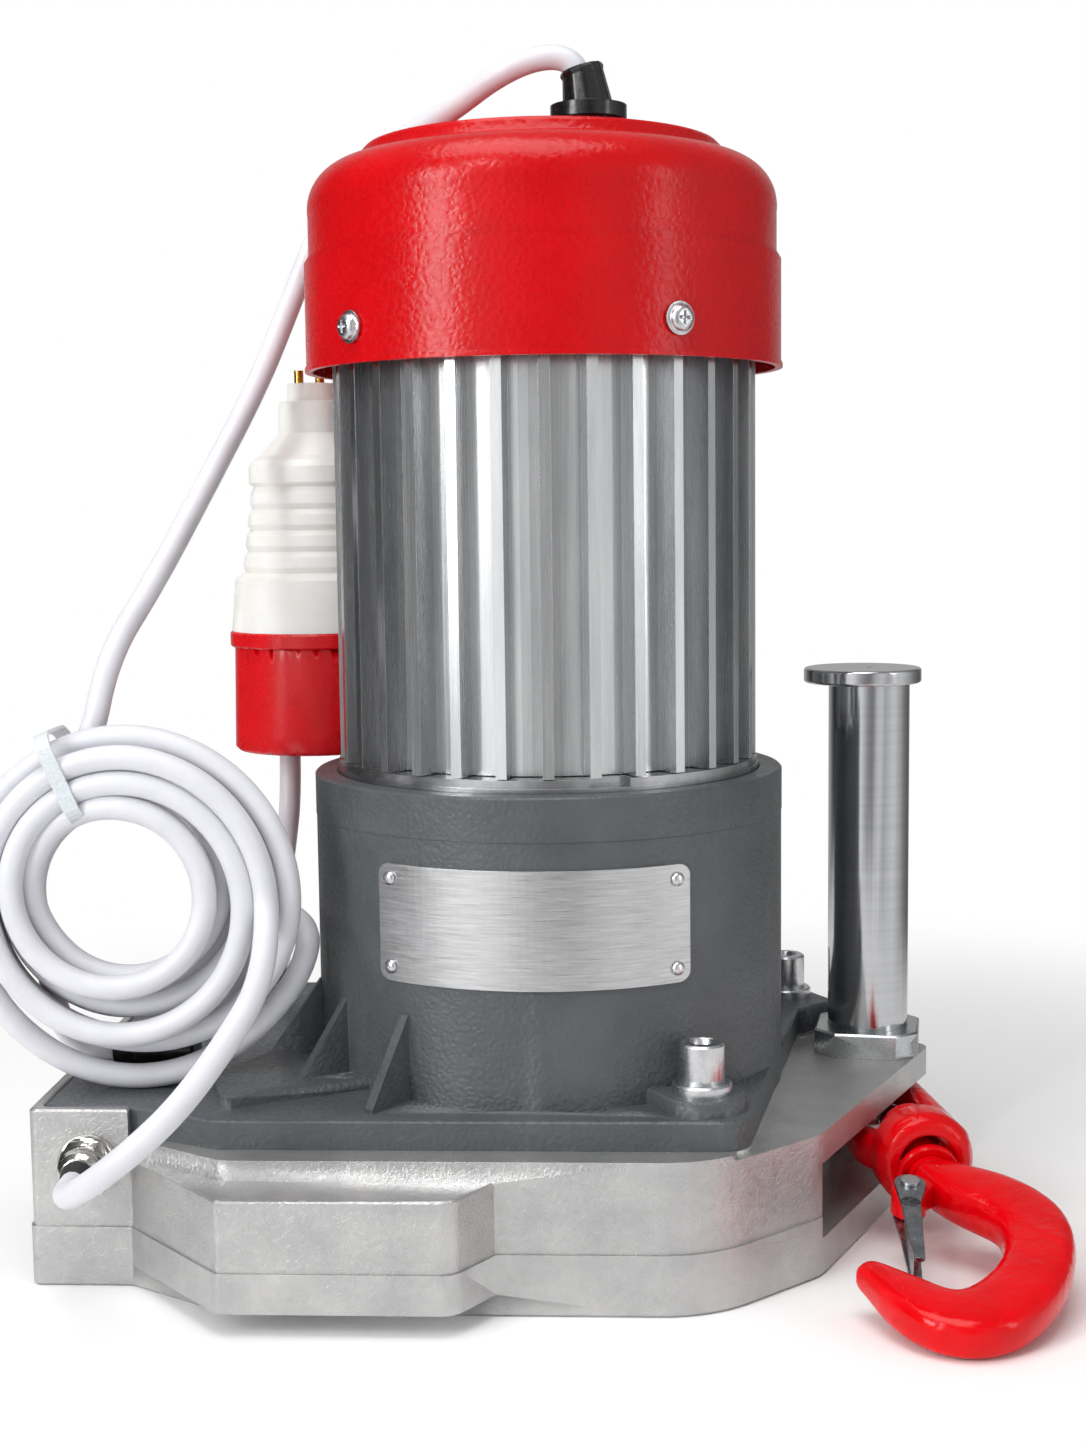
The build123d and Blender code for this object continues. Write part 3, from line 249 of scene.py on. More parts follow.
def brushed_plate():
    """Aluminium sheet brushed along its length, bare of any marking: hairlines 0.4 mm apart."""
    material, tree, shader, mm = new_material("brushed aluminium sheet", Metallic=1.0)
    level = add(tree, "ShaderNodeMapping", {"Scale": (0.03, 0.03, 1)}, {"Vector": mm})
    lines = add(tree, "ShaderNodeTexNoise", {"Scale": 1 / 0.4, "Detail": 4, "Roughness": 0.7},
                {"Vector": level.outputs["Vector"]})
    dress(tree, shader, lines.outputs["Fac"], lines.outputs["Fac"],
          colours=("#B2B3B4", "#D6D6D7"), roughness=(0.26, 0.42),
          height_mm=0.06, strength=0.6, edge_mm=0.3)
    return material


def red_enamel():
    """Thick gloss red enamel on a forging: wet highlights that wander with dents 7 mm across."""
    gloss = {"Specular_IOR_Level": 0.12, "Coat_Weight": 0.25, "Coat_Roughness": 0.04}
    material, tree, shader, mm = new_material("red enamel", **gloss)
    dents = add(tree, "ShaderNodeTexNoise",
                {"Scale": 1 / 7, "Detail": 3, "Roughness": 0.5, "Distortion": 0.5}, {"Vector": mm})
    clouds = add(tree, "ShaderNodeTexNoise", {"Scale": 1 / 14, "Detail": 2}, {"Vector": mm})
    dress(tree, shader, dents.outputs["Fac"], clouds.outputs["Fac"],
          colours=("#D80008", "#E4000C"), roughness=(0.08, 0.15),
          height_mm=1.2, strength=0.7, edge_mm=1.2)
    return material


def dark_zinc():
    """Pressed steel strip with a dull dark zinc finish, cloudy over 5 mm."""
    material, tree, shader, mm = new_material("dark zinc strip", Metallic=1.0)
    grain = add(tree, "ShaderNodeTexNoise", {"Scale": 1 / 1.0, "Detail": 3}, {"Vector": mm})
    clouds = add(tree, "ShaderNodeTexNoise", {"Scale": 1 / 5, "Detail": 4}, {"Vector": mm})
    dress(tree, shader, grain.outputs["Fac"], clouds.outputs["Fac"],
          colours=("#7C8286", "#A2A6A9"), roughness=(0.22, 0.36),
          height_mm=0.03, strength=0.4, edge_mm=0.3)
    return material


def black_nylon():
    """Injection moulded black nylon, shiny, with a faint skin grain of 2 mm."""
    material, tree, shader, mm = new_material("black nylon")
    skin = add(tree, "ShaderNodeTexNoise", {"Scale": 1 / 2, "Detail": 2}, {"Vector": mm})
    dress(tree, shader, skin.outputs["Fac"], skin.outputs["Fac"],
          colours=("#0B0B0D", "#151517"), roughness=(0.16, 0.28),
          height_mm=0.03, strength=0.3, edge_mm=0.5)
    return material


def white_nylon():
    """White moulded nylon of an industrial plug: satin, a little warm, skin grain 1.5 mm."""
    material, tree, shader, mm = new_material("white nylon", Subsurface_Weight=0.05)
    skin = add(tree, "ShaderNodeTexNoise", {"Scale": 1 / 1.5, "Detail": 2}, {"Vector": mm})
    clouds = add(tree, "ShaderNodeTexNoise", {"Scale": 1 / 12, "Detail": 2}, {"Vector": mm})
    dress(tree, shader, skin.outputs["Fac"], clouds.outputs["Fac"],
          colours=("#ECEAE5", "#F3F1EE"), roughness=(0.30, 0.42),
          height_mm=0.04, strength=0.3, edge_mm=0.6)
    return material


def red_nylon():
    """Red moulded nylon of an industrial plug, shiny, with a skin grain of 1.5 mm."""
    material, tree, shader, mm = new_material("red nylon")
    skin = add(tree, "ShaderNodeTexNoise", {"Scale": 1 / 1.5, "Detail": 2}, {"Vector": mm})
    clouds = add(tree, "ShaderNodeTexNoise", {"Scale": 1 / 12, "Detail": 2}, {"Vector": mm})
    dress(tree, shader, skin.outputs["Fac"], clouds.outputs["Fac"],
          colours=("#D0020D", "#DC0412"), roughness=(0.18, 0.30),
          height_mm=0.04, strength=0.3, edge_mm=0.2)
    return material


def brass():
    """Turned brass pins, bright yellow with 1 mm tool grain."""
    material, tree, shader, mm = new_material("turned brass", Metallic=1.0)
    grain = add(tree, "ShaderNodeTexNoise", {"Scale": 1, "Detail": 2}, {"Vector": mm})
    dress(tree, shader, grain.outputs["Fac"], grain.outputs["Fac"],
          colours=("#C9A24B", "#D9B45C"), roughness=(0.2, 0.32),
          height_mm=0.02, strength=0.3, edge_mm=0.2)
    return material


def cord_sheath():
    """Pale grey PVC sheath: satin, faint extruder grain of 2 mm, handling marks over 20 mm."""
    material, tree, shader, mm = new_material("pale grey cord sheath", Subsurface_Weight=0.03)
    grain = add(tree, "ShaderNodeTexNoise", {"Scale": 1 / 2, "Detail": 3}, {"Vector": mm})
    clouds = add(tree, "ShaderNodeTexNoise",
                 {"Scale": 1 / 20, "Detail": 4, "Roughness": 0.6}, {"Vector": mm})
    dress(tree, shader, grain.outputs["Fac"], clouds.outputs["Fac"],
          colours=("#D6D6DC", "#E0E0E5"), roughness=(0.34, 0.46),
          height_mm=0.06, strength=0.35, edge_mm=0.2)
    return material


def tie_nylon():
    """Natural nylon strap of a cable tie: pale, lit a little from within, cross grain 1 mm."""
    material, tree, shader, mm = new_material("natural nylon strap", Subsurface_Weight=0.12)
    grain = add(tree, "ShaderNodeTexNoise", {"Scale": 1, "Detail": 2}, {"Vector": mm})
    dress(tree, shader, grain.outputs["Fac"], grain.outputs["Fac"],
          colours=("#D0D3D6", "#DFE2E4"), roughness=(0.26, 0.38),
          height_mm=0.05, strength=0.4, edge_mm=0.3)
    return material


def black_rubber():
    """Black rubber of a gland's seal: dull, with a dusty skin grain of 1 mm."""
    material, tree, shader, mm = new_material("black rubber")
    grain = add(tree, "ShaderNodeTexNoise", {"Scale": 1, "Detail": 3}, {"Vector": mm})
    dress(tree, shader, grain.outputs["Fac"], grain.outputs["Fac"],
          colours=("#161617", "#232325"), roughness=(0.55, 0.7),
          height_mm=0.04, strength=0.4, edge_mm=0.3)
    return material


def inner_metal(name, colours, roughness, metallic=1.0):
    """Metal and lining of the inner works, with a machined grain of 2.5 mm."""
    material, tree, shader, mm = new_material(name, Metallic=metallic)
    grain = add(tree, "ShaderNodeTexNoise", {"Scale": 1 / 2.5, "Detail": 3}, {"Vector": mm})
    dress(tree, shader, grain.outputs["Fac"], grain.outputs["Fac"],
          colours=colours, roughness=(roughness - 0.06, roughness + 0.08),
          height_mm=0.03, strength=0.3, edge_mm=0.3)
    return material


finishes = {
    "cast_aluminium": cast_aluminium(),
    "grey_paint": grey_paint(),
    "extruded_aluminium": extruded_aluminium(),
    "red_wrinkle_paint": red_paint(),
    "zinc_steel": zinc_steel(),
    "polished_steel": polished_steel(),
    "nickel": bright_nickel(),
    "brushed_plate": brushed_plate(),
    "gloss_red": red_enamel(),
    "zinc_grey": dark_zinc(),
    "black_plastic": black_nylon(),
    "white_plastic": white_nylon(),
    "red_plastic": red_nylon(),
    "brass": brass(),
    "cord_grey": cord_sheath(),
    "laminations": inner_metal("electrical steel", ("#8A8E92", "#9DA1A4"), 0.4),
    "copper": inner_metal("varnished copper wire", ("#8E4A22", "#A65A2C"), 0.35),
    "friction_lining": inner_metal("brake lining", ("#2C2824", "#3A352F"), 0.8, 0.0),
    "gear_steel": inner_metal("hardened gear steel", ("#A9ABAE", "#BFC1C3"), 0.28),
}
node_slot = {part["node"]: part["material_slot"] for part in frame["record"]["subparts"]}
node_finish = {name: finishes[slot] for name, slot in node_slot.items()}
node_finish["drive_end_shield"] = turned_aluminium()
node_finish["pin_nut"] = satin_steel()
for name, material in node_finish.items():
    node = frame["nodes"][name]
    node.data.materials.clear()
    node.data.materials.append(material)


# Pieces


def finished_piece(name, bm, material, body):
    """Puts a finished bmesh into the scene as a piece that rides on a body."""
    mesh = bpy.data.meshes.new(name)
    bm.to_mesh(mesh)
    bm.free()
    mesh.materials.append(material)
    piece = bpy.data.objects.new(name, mesh)
    bpy.context.scene.collection.objects.link(piece)
    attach(piece, body)
    return piece


def shade_round(piece, crease_deg):
    """Smooth shading that stops at every edge sharper than the crease."""
    piece.data.shade_smooth()
    piece.data.set_sharp_from_angle(angle=math.radians(crease_deg))


def size_matrix(width, height=None, depth=1):
    """The stretch that gives a unit circle or cube its size; one number makes a circle's radius."""
    return Matrix.Diagonal((width, width if height is None else height, depth, 1))


# The cast and turned parts keep their CAD shape, merged and smoothed so that their round faces
# look round. Each row is the sharpest crease that still shades smoothly, the body and its nodes.
CASTING_CREASE_DEG = 15
TURNED_CREASE_DEG = 26
SEAL_CREASE_DEG = 40
MERGE_DISTANCE = 0.002 * MM
smoothed_nodes = [
    (CASTING_CREASE_DEG, "hoist", ["lower_housing", "upper_housing", "motor_casing", "casing_ring",
                                   "motor_housing", "nameplate"]),
    (TURNED_CREASE_DEG, "hoist", ["fan_cover", "cover_screws", "flange_bolts", "bolt_collars",
                                  "nameplate_rivets", "suspension_pin", "pin_nut", "bail_spacers",
                                  "top_gland_base", "base_gland_body", "base_gland_nut",
                                  "plug_shroud", "plug_ring"]),
    (TURNED_CREASE_DEG, "bail", ["bail"]),
    (TURNED_CREASE_DEG, "hook", ["hook_nut", "latch_pin"]),
]
for crease, body, names in smoothed_nodes:
    for name in names:
        bm = bmesh.new()
        bm.from_mesh(frame["nodes"][name].data)
        bmesh.ops.remove_doubles(bm, verts=bm.verts, dist=MERGE_DISTANCE)
        piece = finished_piece(name + "_surface", bm, node_finish[name], body)
        shade_round(piece, crease)
        flat = piece.modifiers.new("flat faces stay flat", "WEIGHTED_NORMAL")
        flat.keep_sharp = True
        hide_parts(name)


# Hook, in millimetres along it, across it and through it. Each section is its place along and
# across, its half width, its half thickness and the direction in degrees that the forging runs.
HOOK_CENTRE = Vector((139.889, -33.0643, 31.0))
HOOK_ALONG = Vector((0.110729, -0.97186, -0.207912))
HOOK_ACROSS = Vector((0.993572, 0.113203, 0.0))
HOOK_SECTION_SIDES = 20
HOOK_FLATNESS = 0.62
HOOK_ROUNDING_LEVELS = 2
hook_sections = [
    (14.5, 0.2, 7.4, 7.4, 0),
    (18, 1.2, 8.2, 8.2, 10),
    (24, 5.0, 9.6, 8.8, 30),
    (31.5, 13.0, 13.2, 9.0, 38),
    (41, 22.5, 14.0, 8.8, 32),
    (52, 27.8, 13.4, 8.6, 8),
    (67, 26.2, 12.6, 8.5, -12),
    (82, 20.2, 12.2, 8.4, -28),
    (95, 10.6, 12.8, 8.2, -46),
    (104, 0.5, 13.4, 8.0, -62),
    (107.8, -10.5, 13.4, 7.9, -86),
    (103.4, -20.2, 12.6, 7.7, -114),
    (94.5, -26.6, 10.4, 7.3, -140),
    (86.5, -31.0, 7.4, 6.5, -152),
    (80.0, -34.6, 5.6, 5.6, -148),
    (76.4, -37.4, 4.6, 4.8, -140),
    (74.8, -38.9, 2.6, 2.8, -138),
]


def hook_frame():
    """From hook coordinates (along, across, thickness) in millimetres to the object's metres."""
    normal = HOOK_ALONG.cross(HOOK_ACROSS)
    turn = Matrix((HOOK_ALONG, HOOK_ACROSS, normal)).transposed().to_4x4()
    return Matrix.Scale(MM, 4) @ Matrix.Translation(HOOK_CENTRE) @ turn


def loft_loops(bm, places, sides, caps, flatness=1.0):
    """Joins round loops, each given by the matrix that puts the unit circle in its place. A
    flatness under 1 squares the circle a little, as forging dies do."""
    loops = []
    for index, place in enumerate(places):
        closed = caps and index in (0, len(places) - 1)
        verts = bmesh.ops.create_circle(bm, cap_ends=closed, segments=sides, radius=1)["verts"]
        for vert in verts:
            vert.co = Vector([math.copysign(abs(c) ** flatness, c) for c in vert.co])
        bmesh.ops.transform(bm, matrix=place, verts=verts)
        loops.append({edge for vert in verts for edge in vert.link_edges})
    for first, second in zip(loops, loops[1:]):
        bmesh.ops.bridge_loops(bm, edges=list(first | second))
    bmesh.ops.recalc_face_normals(bm, faces=bm.faces)


def make_hook():
    """The forged hook, lofted through its sections and rounded by subdivision."""
    to_object = hook_frame()
    upright = Matrix(((0, 0, 1, 0), (1, 0, 0, 0), (0, 1, 0, 0), (0, 0, 0, 1)))
    bm = bmesh.new()
    places = []
    for along, across, half_width, half_thickness, direction in hook_sections:
        turn = Matrix.Rotation(math.radians(direction), 4, "Z")
        size = size_matrix(half_width, half_thickness)
        places.append(to_object @ Matrix.Translation((along, across, 0)) @ turn @ upright @ size)
    loft_loops(bm, places, HOOK_SECTION_SIDES, True, HOOK_FLATNESS)
    hook = finished_piece("hook_forging", bm, finishes["gloss_red"], "hook")
    hook.data.shade_smooth()
    rounding = hook.modifiers.new("rounding", "SUBSURF")
    rounding.levels = HOOK_ROUNDING_LEVELS
    rounding.render_levels = HOOK_ROUNDING_LEVELS
    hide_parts("hook")


# Hook's neck: each row of the shank and its collar is its place along the hook and its radius, and
# each row of the boss that carries the latch is its level through the hook and its radius.
HUB_FACE = 11.0
SHANK_RADIUS = 7.5
COLLAR_START = HUB_FACE + 0.6
NECK_SIDES = 48
neck_rows = [
    (-22.5, SHANK_RADIUS - 1),
    (-21.5, SHANK_RADIUS),
    (COLLAR_START, SHANK_RADIUS),
    (COLLAR_START, 10.8),
    (COLLAR_START + 0.6, 11.4),
    (COLLAR_START + 2.6, 11.4),
    (COLLAR_START + 3.4, 10.8),
    (COLLAR_START + 3.4, 8.4),
    (COLLAR_START + 7, 8.4),
]
LATCH_PIVOT = Matrix.Translation((31.0, -11.5, 0))
BOSS_SIDES = 32
boss_rows = [(-5.2, 5.9), (-4.6, 6.5), (4.6, 6.5), (5.2, 5.9)]
BOSS_ROOT_PLACE = (-4, 5, 0)
BOSS_ROOT_TURN_DEG = -50
BOSS_ROOT_SIZE = (14, 10, 10.2)
BOSS_ROOT_ROUNDING = 1.5 * MM


def make_hook_neck():
    """The shank that turns in the hub, its collar at the hub's face, and the latch's boss."""
    to_object = hook_frame()
    lie = Matrix.Rotation(math.radians(90), 4, "Y")
    bm = bmesh.new()
    places = [to_object @ Matrix.Translation((along, 0, 0)) @ lie @ size_matrix(radius)
              for along, radius in neck_rows]
    loft_loops(bm, places, NECK_SIDES, True)
    places = [to_object @ LATCH_PIVOT @ Matrix.Translation((0, 0, level)) @ size_matrix(radius)
              for level, radius in boss_rows]
    loft_loops(bm, places, BOSS_SIDES, True)
    turn = Matrix.Rotation(math.radians(BOSS_ROOT_TURN_DEG), 4, "Z")
    root = LATCH_PIVOT @ Matrix.Translation(BOSS_ROOT_PLACE) @ turn
    placed = to_object @ root @ size_matrix(*BOSS_ROOT_SIZE)
    block = bmesh.ops.create_cube(bm, size=1, matrix=placed)
    edges = list({edge for vert in block["verts"] for edge in vert.link_edges})
    bmesh.ops.bevel(bm, geom=edges, offset=BOSS_ROOT_ROUNDING, segments=3, profile=0.5,
                    affect="EDGES", material=-1)
    neck = finished_piece("hook_neck", bm, finishes["gloss_red"], "hook")
    shade_round(neck, TURNED_CREASE_DEG)


# Latch: its tilt from the hook's length, its own length, the levels of its two cheeks, the radii of
# its eye and tip, and its waist as place along, place across and radius. The web joins the cheeks.
LATCH_TILT_DEG = -9.462
LATCH_LENGTH = 48.5
LATCH_CHEEK_INSIDE = 5.5
LATCH_CHEEK_OUTSIDE = 7.1
LATCH_EYE_RADIUS = 5.6
LATCH_TIP_RADIUS = 1.9
LATCH_WAIST = (13.0, -0.6, 3.4)
LATCH_SIDES = 32
WEB_END = LATCH_LENGTH - 1.5
WEB_ACROSS = -1.4
WEB_THICKNESS = 1.5
WEB_TURN_DEG = 1.4
WEB_INSET = 0.4


def make_latch():
    """A pressed latch: two tapered cheeks with round eyes, and a web along their lower edge."""
    to_object = hook_frame() @ LATCH_PIVOT @ Matrix.Rotation(math.radians(LATCH_TILT_DEG), 4, "Z")
    middle = (LATCH_CHEEK_INSIDE + LATCH_CHEEK_OUTSIDE) / 2
    half = (LATCH_CHEEK_OUTSIDE - LATCH_CHEEK_INSIDE) / 2
    eye = (0, 0, LATCH_EYE_RADIUS)
    tip = (LATCH_LENGTH - LATCH_TIP_RADIUS, 0, LATCH_TIP_RADIUS)
    bm = bmesh.new()
    for side in (-1, 1):
        for stretch in ((eye, LATCH_WAIST), (LATCH_WAIST, tip)):
            rims = []
            for along, across, radius in stretch:
                for level in (-half, half):
                    place = Matrix.Translation((along, across, side * middle + level))
                    rims += bmesh.ops.create_circle(bm, cap_ends=False, segments=LATCH_SIDES,
                                                    radius=radius, matrix=place)["verts"]
            hull = bmesh.ops.convex_hull(bm, input=rims)
            spare = [part for part in hull["geom_interior"] + hull["geom_unused"]
                     if isinstance(part, bmesh.types.BMVert)]
            bmesh.ops.delete(bm, geom=spare, context="VERTS")
    web = Matrix.Translation(((LATCH_WAIST[0] + WEB_END) / 2, WEB_ACROSS, 0))
    web = web @ Matrix.Rotation(math.radians(WEB_TURN_DEG), 4, "Z")
    web_width = 2 * (LATCH_CHEEK_OUTSIDE - WEB_INSET)
    size = size_matrix(WEB_END - LATCH_WAIST[0], WEB_THICKNESS, web_width)
    bmesh.ops.create_cube(bm, size=1, matrix=web @ size)
    bmesh.ops.transform(bm, matrix=to_object, verts=bm.verts)
    bmesh.ops.recalc_face_normals(bm, faces=bm.faces)
    latch = finished_piece("latch_strip", bm, finishes["zinc_grey"], "latch")
    shade_round(latch, TURNED_CREASE_DEG)
    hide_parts("latch")


# Top gland's sleeve: the slanted strain relief. Each row is its height, how far it leans to -X,
# its radius and its tilt. The last rows go down into the mouth round the cord.
TOP_GLAND = (18.2, -8.0)
CAP_TOP = 408.5
SLEEVE_SIDES = 12
FLUTE_LEAST_RISE = 5 * MM
FLUTE_ROUNDING = 0.9 * MM
sleeve_rows = [
    (CAP_TOP + 6.0, 0.0, 10.2, 0),
    (CAP_TOP + 13.9, 0.2, 9.3, 0),
    (CAP_TOP + 15.4, 0.4, 9.3, -4),
    (CAP_TOP + 25.2, 2.0, 8.0, -15),
    (CAP_TOP + 26.6, 2.4, 8.3, -15),
    (CAP_TOP + 27.6, 2.6, 7.9, -15),
    (CAP_TOP + 27.4, 2.6, 6.3, -15),
    (CAP_TOP + 21.5, 1.1, 5.2, -15),
]


def make_top_sleeve():
    """A fluted, tapered sleeve that grips the cord where it leaves the fan cover."""
    bm = bmesh.new()
    places = []
    for height, lean, radius, tilt in sleeve_rows:
        place = Matrix.Translation((TOP_GLAND[0] - lean, TOP_GLAND[1], height))
        turn = Matrix.Rotation(math.radians(tilt), 4, "Y")
        places.append(Matrix.Scale(MM, 4) @ place @ turn @ size_matrix(radius))
    loft_loops(bm, places, SLEEVE_SIDES, False)
    flutes = [edge for edge in bm.edges
              if abs((edge.verts[0].co - edge.verts[1].co).z) > FLUTE_LEAST_RISE]
    bmesh.ops.bevel(bm, geom=flutes, offset=FLUTE_ROUNDING, segments=3, profile=0.5,
                    affect="EDGES", material=-1)
    sleeve = finished_piece("top_gland_sleeve", bm, finishes["black_plastic"], "hoist")
    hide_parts("top_gland_boot")


# Base gland's seal, from inside the dome nut to just outside it: how far out, and the radius there
BASE_GLAND = (-160.5, -90.0, 44.5)
SEAL_SIDES = 32
seal_rows = [
    (1.0, 7.2),
    (13.6, 6.2),
    (15.4, 6.0),
    (17.6, 5.4),
    (21.0, 4.7),
    (21.0, 4.2),
    (1.0, 4.2),
]


def make_base_seal():
    """The tapered rubber seal that the base gland squeezes round the cord."""
    bm = bmesh.new()
    lie = Matrix.Rotation(math.radians(90), 4, "X")
    places = []
    for out, radius in seal_rows:
        place = Matrix.Translation((BASE_GLAND[0], BASE_GLAND[1] - out, BASE_GLAND[2]))
        places.append(Matrix.Scale(MM, 4) @ place @ lie @ size_matrix(radius))
    loft_loops(bm, places, SEAL_SIDES, False)
    seal = finished_piece("base_gland_seal", bm, black_rubber(), "hoist")
    shade_round(seal, SEAL_CREASE_DEG)


make_hook()
make_hook_neck()
make_latch()
make_top_sleeve()
make_base_seal()


# Cords. Each route is the CAD model's own, from where it leaves its gland or plug to the coil.

CORD_DIAMETER = 9.0 * MM
CORD_RING_SEGMENTS = 5
CORD_STEPS_PER_POINT = 8
CORD_CURVE_ORDER = 3
PLUG_AXIS = (-99.052, 61.895)
PLUG_BOTTOM = 175.7
COIL_FRONT = -80.0
COIL_BACK = -50.0

motor_route = [
    (TOP_GLAND[0] - 0.9, TOP_GLAND[1], CAP_TOP + 20),
    (14.3, -7.8, 436.6),
    (7.6, -7.2, 441.0),
    (-4.5, -5.4, 440.0),
    (-18, -1.0, 434.6),
    (-31, 6, 427),
    (-46, 16, 420),
    (-62.5, 28, 415),
    (-79.5, 40, 403),
    (-93.5, 46, 384),
    (-104.5, 46, 358),
    (-116.5, 35, 325),
    (-132.5, 9, 286),
    (-148, -19, 248),
    (-160, -44, 222),
    (-164, -58, 197.2),
]
plug_route = [
    (PLUG_AXIS[0] - 13.5, PLUG_AXIS[1] + 1, PLUG_BOTTOM),
    (PLUG_AXIS[0] - 13.5, PLUG_AXIS[1] + 1, 155),
    (PLUG_AXIS[0] - 14, PLUG_AXIS[1] - 12, 135),
    (-112, 27, 121),
    (-104, -3, 117),
    (-94, -30, 121),
    (-90, COIL_BACK, 122),
]
base_route = [
    (BASE_GLAND[0], BASE_GLAND[1] - 14.4, BASE_GLAND[2]),
    (BASE_GLAND[0], BASE_GLAND[1] - 30.5, BASE_GLAND[2]),
    (BASE_GLAND[0] + 6.1, -135.8, 48.75),
    (-143.5, -146, 56.9),
    (-129.5, -149, 68),
    (-114, -144.5, 82),
    (-101.5, -129.5, 99),
    (-94, -107, 113),
    (-92, COIL_FRONT, 117.5),
]

# Each row of a coil is the turn it is reached at, the height of the ring's top, its depth, its
# radius and the sideways place of its centre. The turns are gathered at the top and fan out below.
# The base cord winds inwards in the front layer and back outwards behind it, and the motor cord
# lies at the back.
POINTS_PER_TURN = 16
base_rings = [
    (-0.3, 189.0, -75.4, 53.0, -149.0),
    (0.0, 189.5, -75.4, 51.0, -149.5),
    (0.5, 186.5, -75.4, 50.0, -150.0),
    (1.0, 180.0, -75.4, 41.5, -151.0),
    (1.5, 176.5, -75.4, 36.0, -152.0),
    (2.0, 171.0, -75.4, 31.5, -153.0),
    (2.35, 171.5, -66.0, 31.5, -153.0),
    (3.0, 181.0, -66.0, 41.0, -151.5),
    (3.5, 184.0, -66.0, 44.0, -151.0),
    (4.0, 191.0, -66.0, 51.5, -150.0),
    (4.5, 192.0, -66.0, 54.5, -149.5),
    (4.75, 194.0, -69.0, 59.5, -148.5),
    (5.0, 196.0, -66.0, 61.5, -149.0),
    (5.25, 195.0, -66.0, 62.0, -149.0),
    (5.5, 192.5, -64.0, 62.3, -149.0),
    (5.65, 192.5, -56.6, 62.3, -149.0),
    (6.0, 192.5, -56.6, 62.3, -149.0),
]
motor_rings = [
    (0, 190, -56.5, 58, -150),
    (1, 180.5, -56.5, 46.5, -151),
    (2, 171, -56.5, 36, -153),
    (3, 168, -56.5, 30, -154),
]


def coil_points(rings, start, end):
    """Points along the turns from one turn number to another, anticlockwise seen from the front.
    A whole turn number is the top of the ring."""
    count = round((end - start) * POINTS_PER_TURN)
    points = []
    for step in range(count + 1):
        turn = start + (end - start) * step / count
        index = max(k for k in range(len(rings) - 1) if k == 0 or rings[k][0] <= turn)
        share = (turn - rings[index][0]) / (rings[index + 1][0] - rings[index][0])
        ends = zip(rings[index][1:], rings[index + 1][1:])
        top, depth, radius, middle = [a + (b - a) * share for a, b in ends]
        angle = math.tau * (turn + 0.25)
        points.append((middle + radius * math.cos(angle), depth,
                       top - radius + radius * math.sin(angle)))
    return points


def make_cord(name, points):
    """One smooth round cord through its control points, given in millimetres."""
    curve = bpy.data.curves.new(name, "CURVE")
    curve.dimensions = "3D"
    curve.bevel_depth = CORD_DIAMETER / 2
    curve.bevel_resolution = CORD_RING_SEGMENTS
    curve.resolution_u = CORD_STEPS_PER_POINT
    curve.use_fill_caps = True
    spline = curve.splines.new("NURBS")
    spline.points.add(len(points) - 1)
    for point, place in zip(spline.points, points):
        point.co = (place[0] * MM, place[1] * MM, place[2] * MM, 1.0)
    spline.order_u = CORD_CURVE_ORDER
    spline.use_endpoint_u = True
    cord = bpy.data.objects.new(name, curve)
    bpy.context.scene.collection.objects.link(cord)
    curve.materials.append(finishes["cord_grey"])
    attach(cord, "hoist")
    return cord


# The tie lies across the gathered turns: its middle, the way it crosses them, its half sizes and
# its corners, and the size of its locking head and how far that stands in from the strap's corner.
TIE_MIDDLE = (-169.6, -66.0, 181.2)
TIE_LEAN_DEG = 113
TIE_HALF_REACH = 17.4
TIE_HALF_DEPTH = 14.7
TIE_WIDTH = 5.6
TIE_THICKNESS = 1.1
TIE_CORNER_RADIUS = 7
TIE_CORNER_STEPS = 6
TIE_HEAD_SIZE = (7, 4.4, 7.4)
TIE_HEAD_INSET = (9, 0.6)
TIE_HEAD_ROUNDING = 0.8


def make_tie():
    """A nylon strap drawn round the turns, with its small locking head at the back."""
    lean = math.radians(TIE_LEAN_DEG)
    radial = Vector((math.cos(lean), 0, math.sin(lean)))
    depth = Vector((0, 1, 0))
    turn = Matrix((radial, depth, radial.cross(depth))).transposed().to_4x4()
    to_object = Matrix.Scale(MM, 4) @ Matrix.Translation(TIE_MIDDLE) @ turn
    bm = bmesh.new()
    edge = Matrix.Translation((0, 0, -TIE_WIDTH / 2)) @ size_matrix(TIE_HALF_REACH, TIE_HALF_DEPTH)
    square = edge @ Matrix.Rotation(math.radians(45), 4, "Z")
    corners = bmesh.ops.create_circle(bm, cap_ends=False, segments=4, radius=math.sqrt(2),
                                      matrix=square)["verts"]
    bmesh.ops.bevel(bm, geom=corners, offset=TIE_CORNER_RADIUS, segments=TIE_CORNER_STEPS,
                    profile=0.5, affect="VERTICES", material=-1)
    wall = bmesh.ops.extrude_edge_only(bm, edges=list(bm.edges))["geom"]
    moved = [part for part in wall if isinstance(part, bmesh.types.BMVert)]
    bmesh.ops.translate(bm, verts=moved, vec=(0, 0, TIE_WIDTH))
    bmesh.ops.recalc_face_normals(bm, faces=bm.faces)
    bmesh.ops.solidify(bm, geom=list(bm.faces), thickness=TIE_THICKNESS)
    head = Matrix.Translation((TIE_HALF_REACH - TIE_HEAD_INSET[0],
                               TIE_HALF_DEPTH - TIE_HEAD_INSET[1], 0))
    block = bmesh.ops.create_cube(bm, size=1, matrix=head @ size_matrix(*TIE_HEAD_SIZE))
    edges = list({edge for vert in block["verts"] for edge in vert.link_edges})
    bmesh.ops.bevel(bm, geom=edges, offset=TIE_HEAD_ROUNDING, segments=2, profile=0.5,
                    affect="EDGES", material=-1)
    bmesh.ops.transform(bm, matrix=to_object, verts=bm.verts)
    bmesh.ops.recalc_face_normals(bm, faces=bm.faces)
    return finished_piece("cord_tie", bm, tie_nylon(), "hoist")


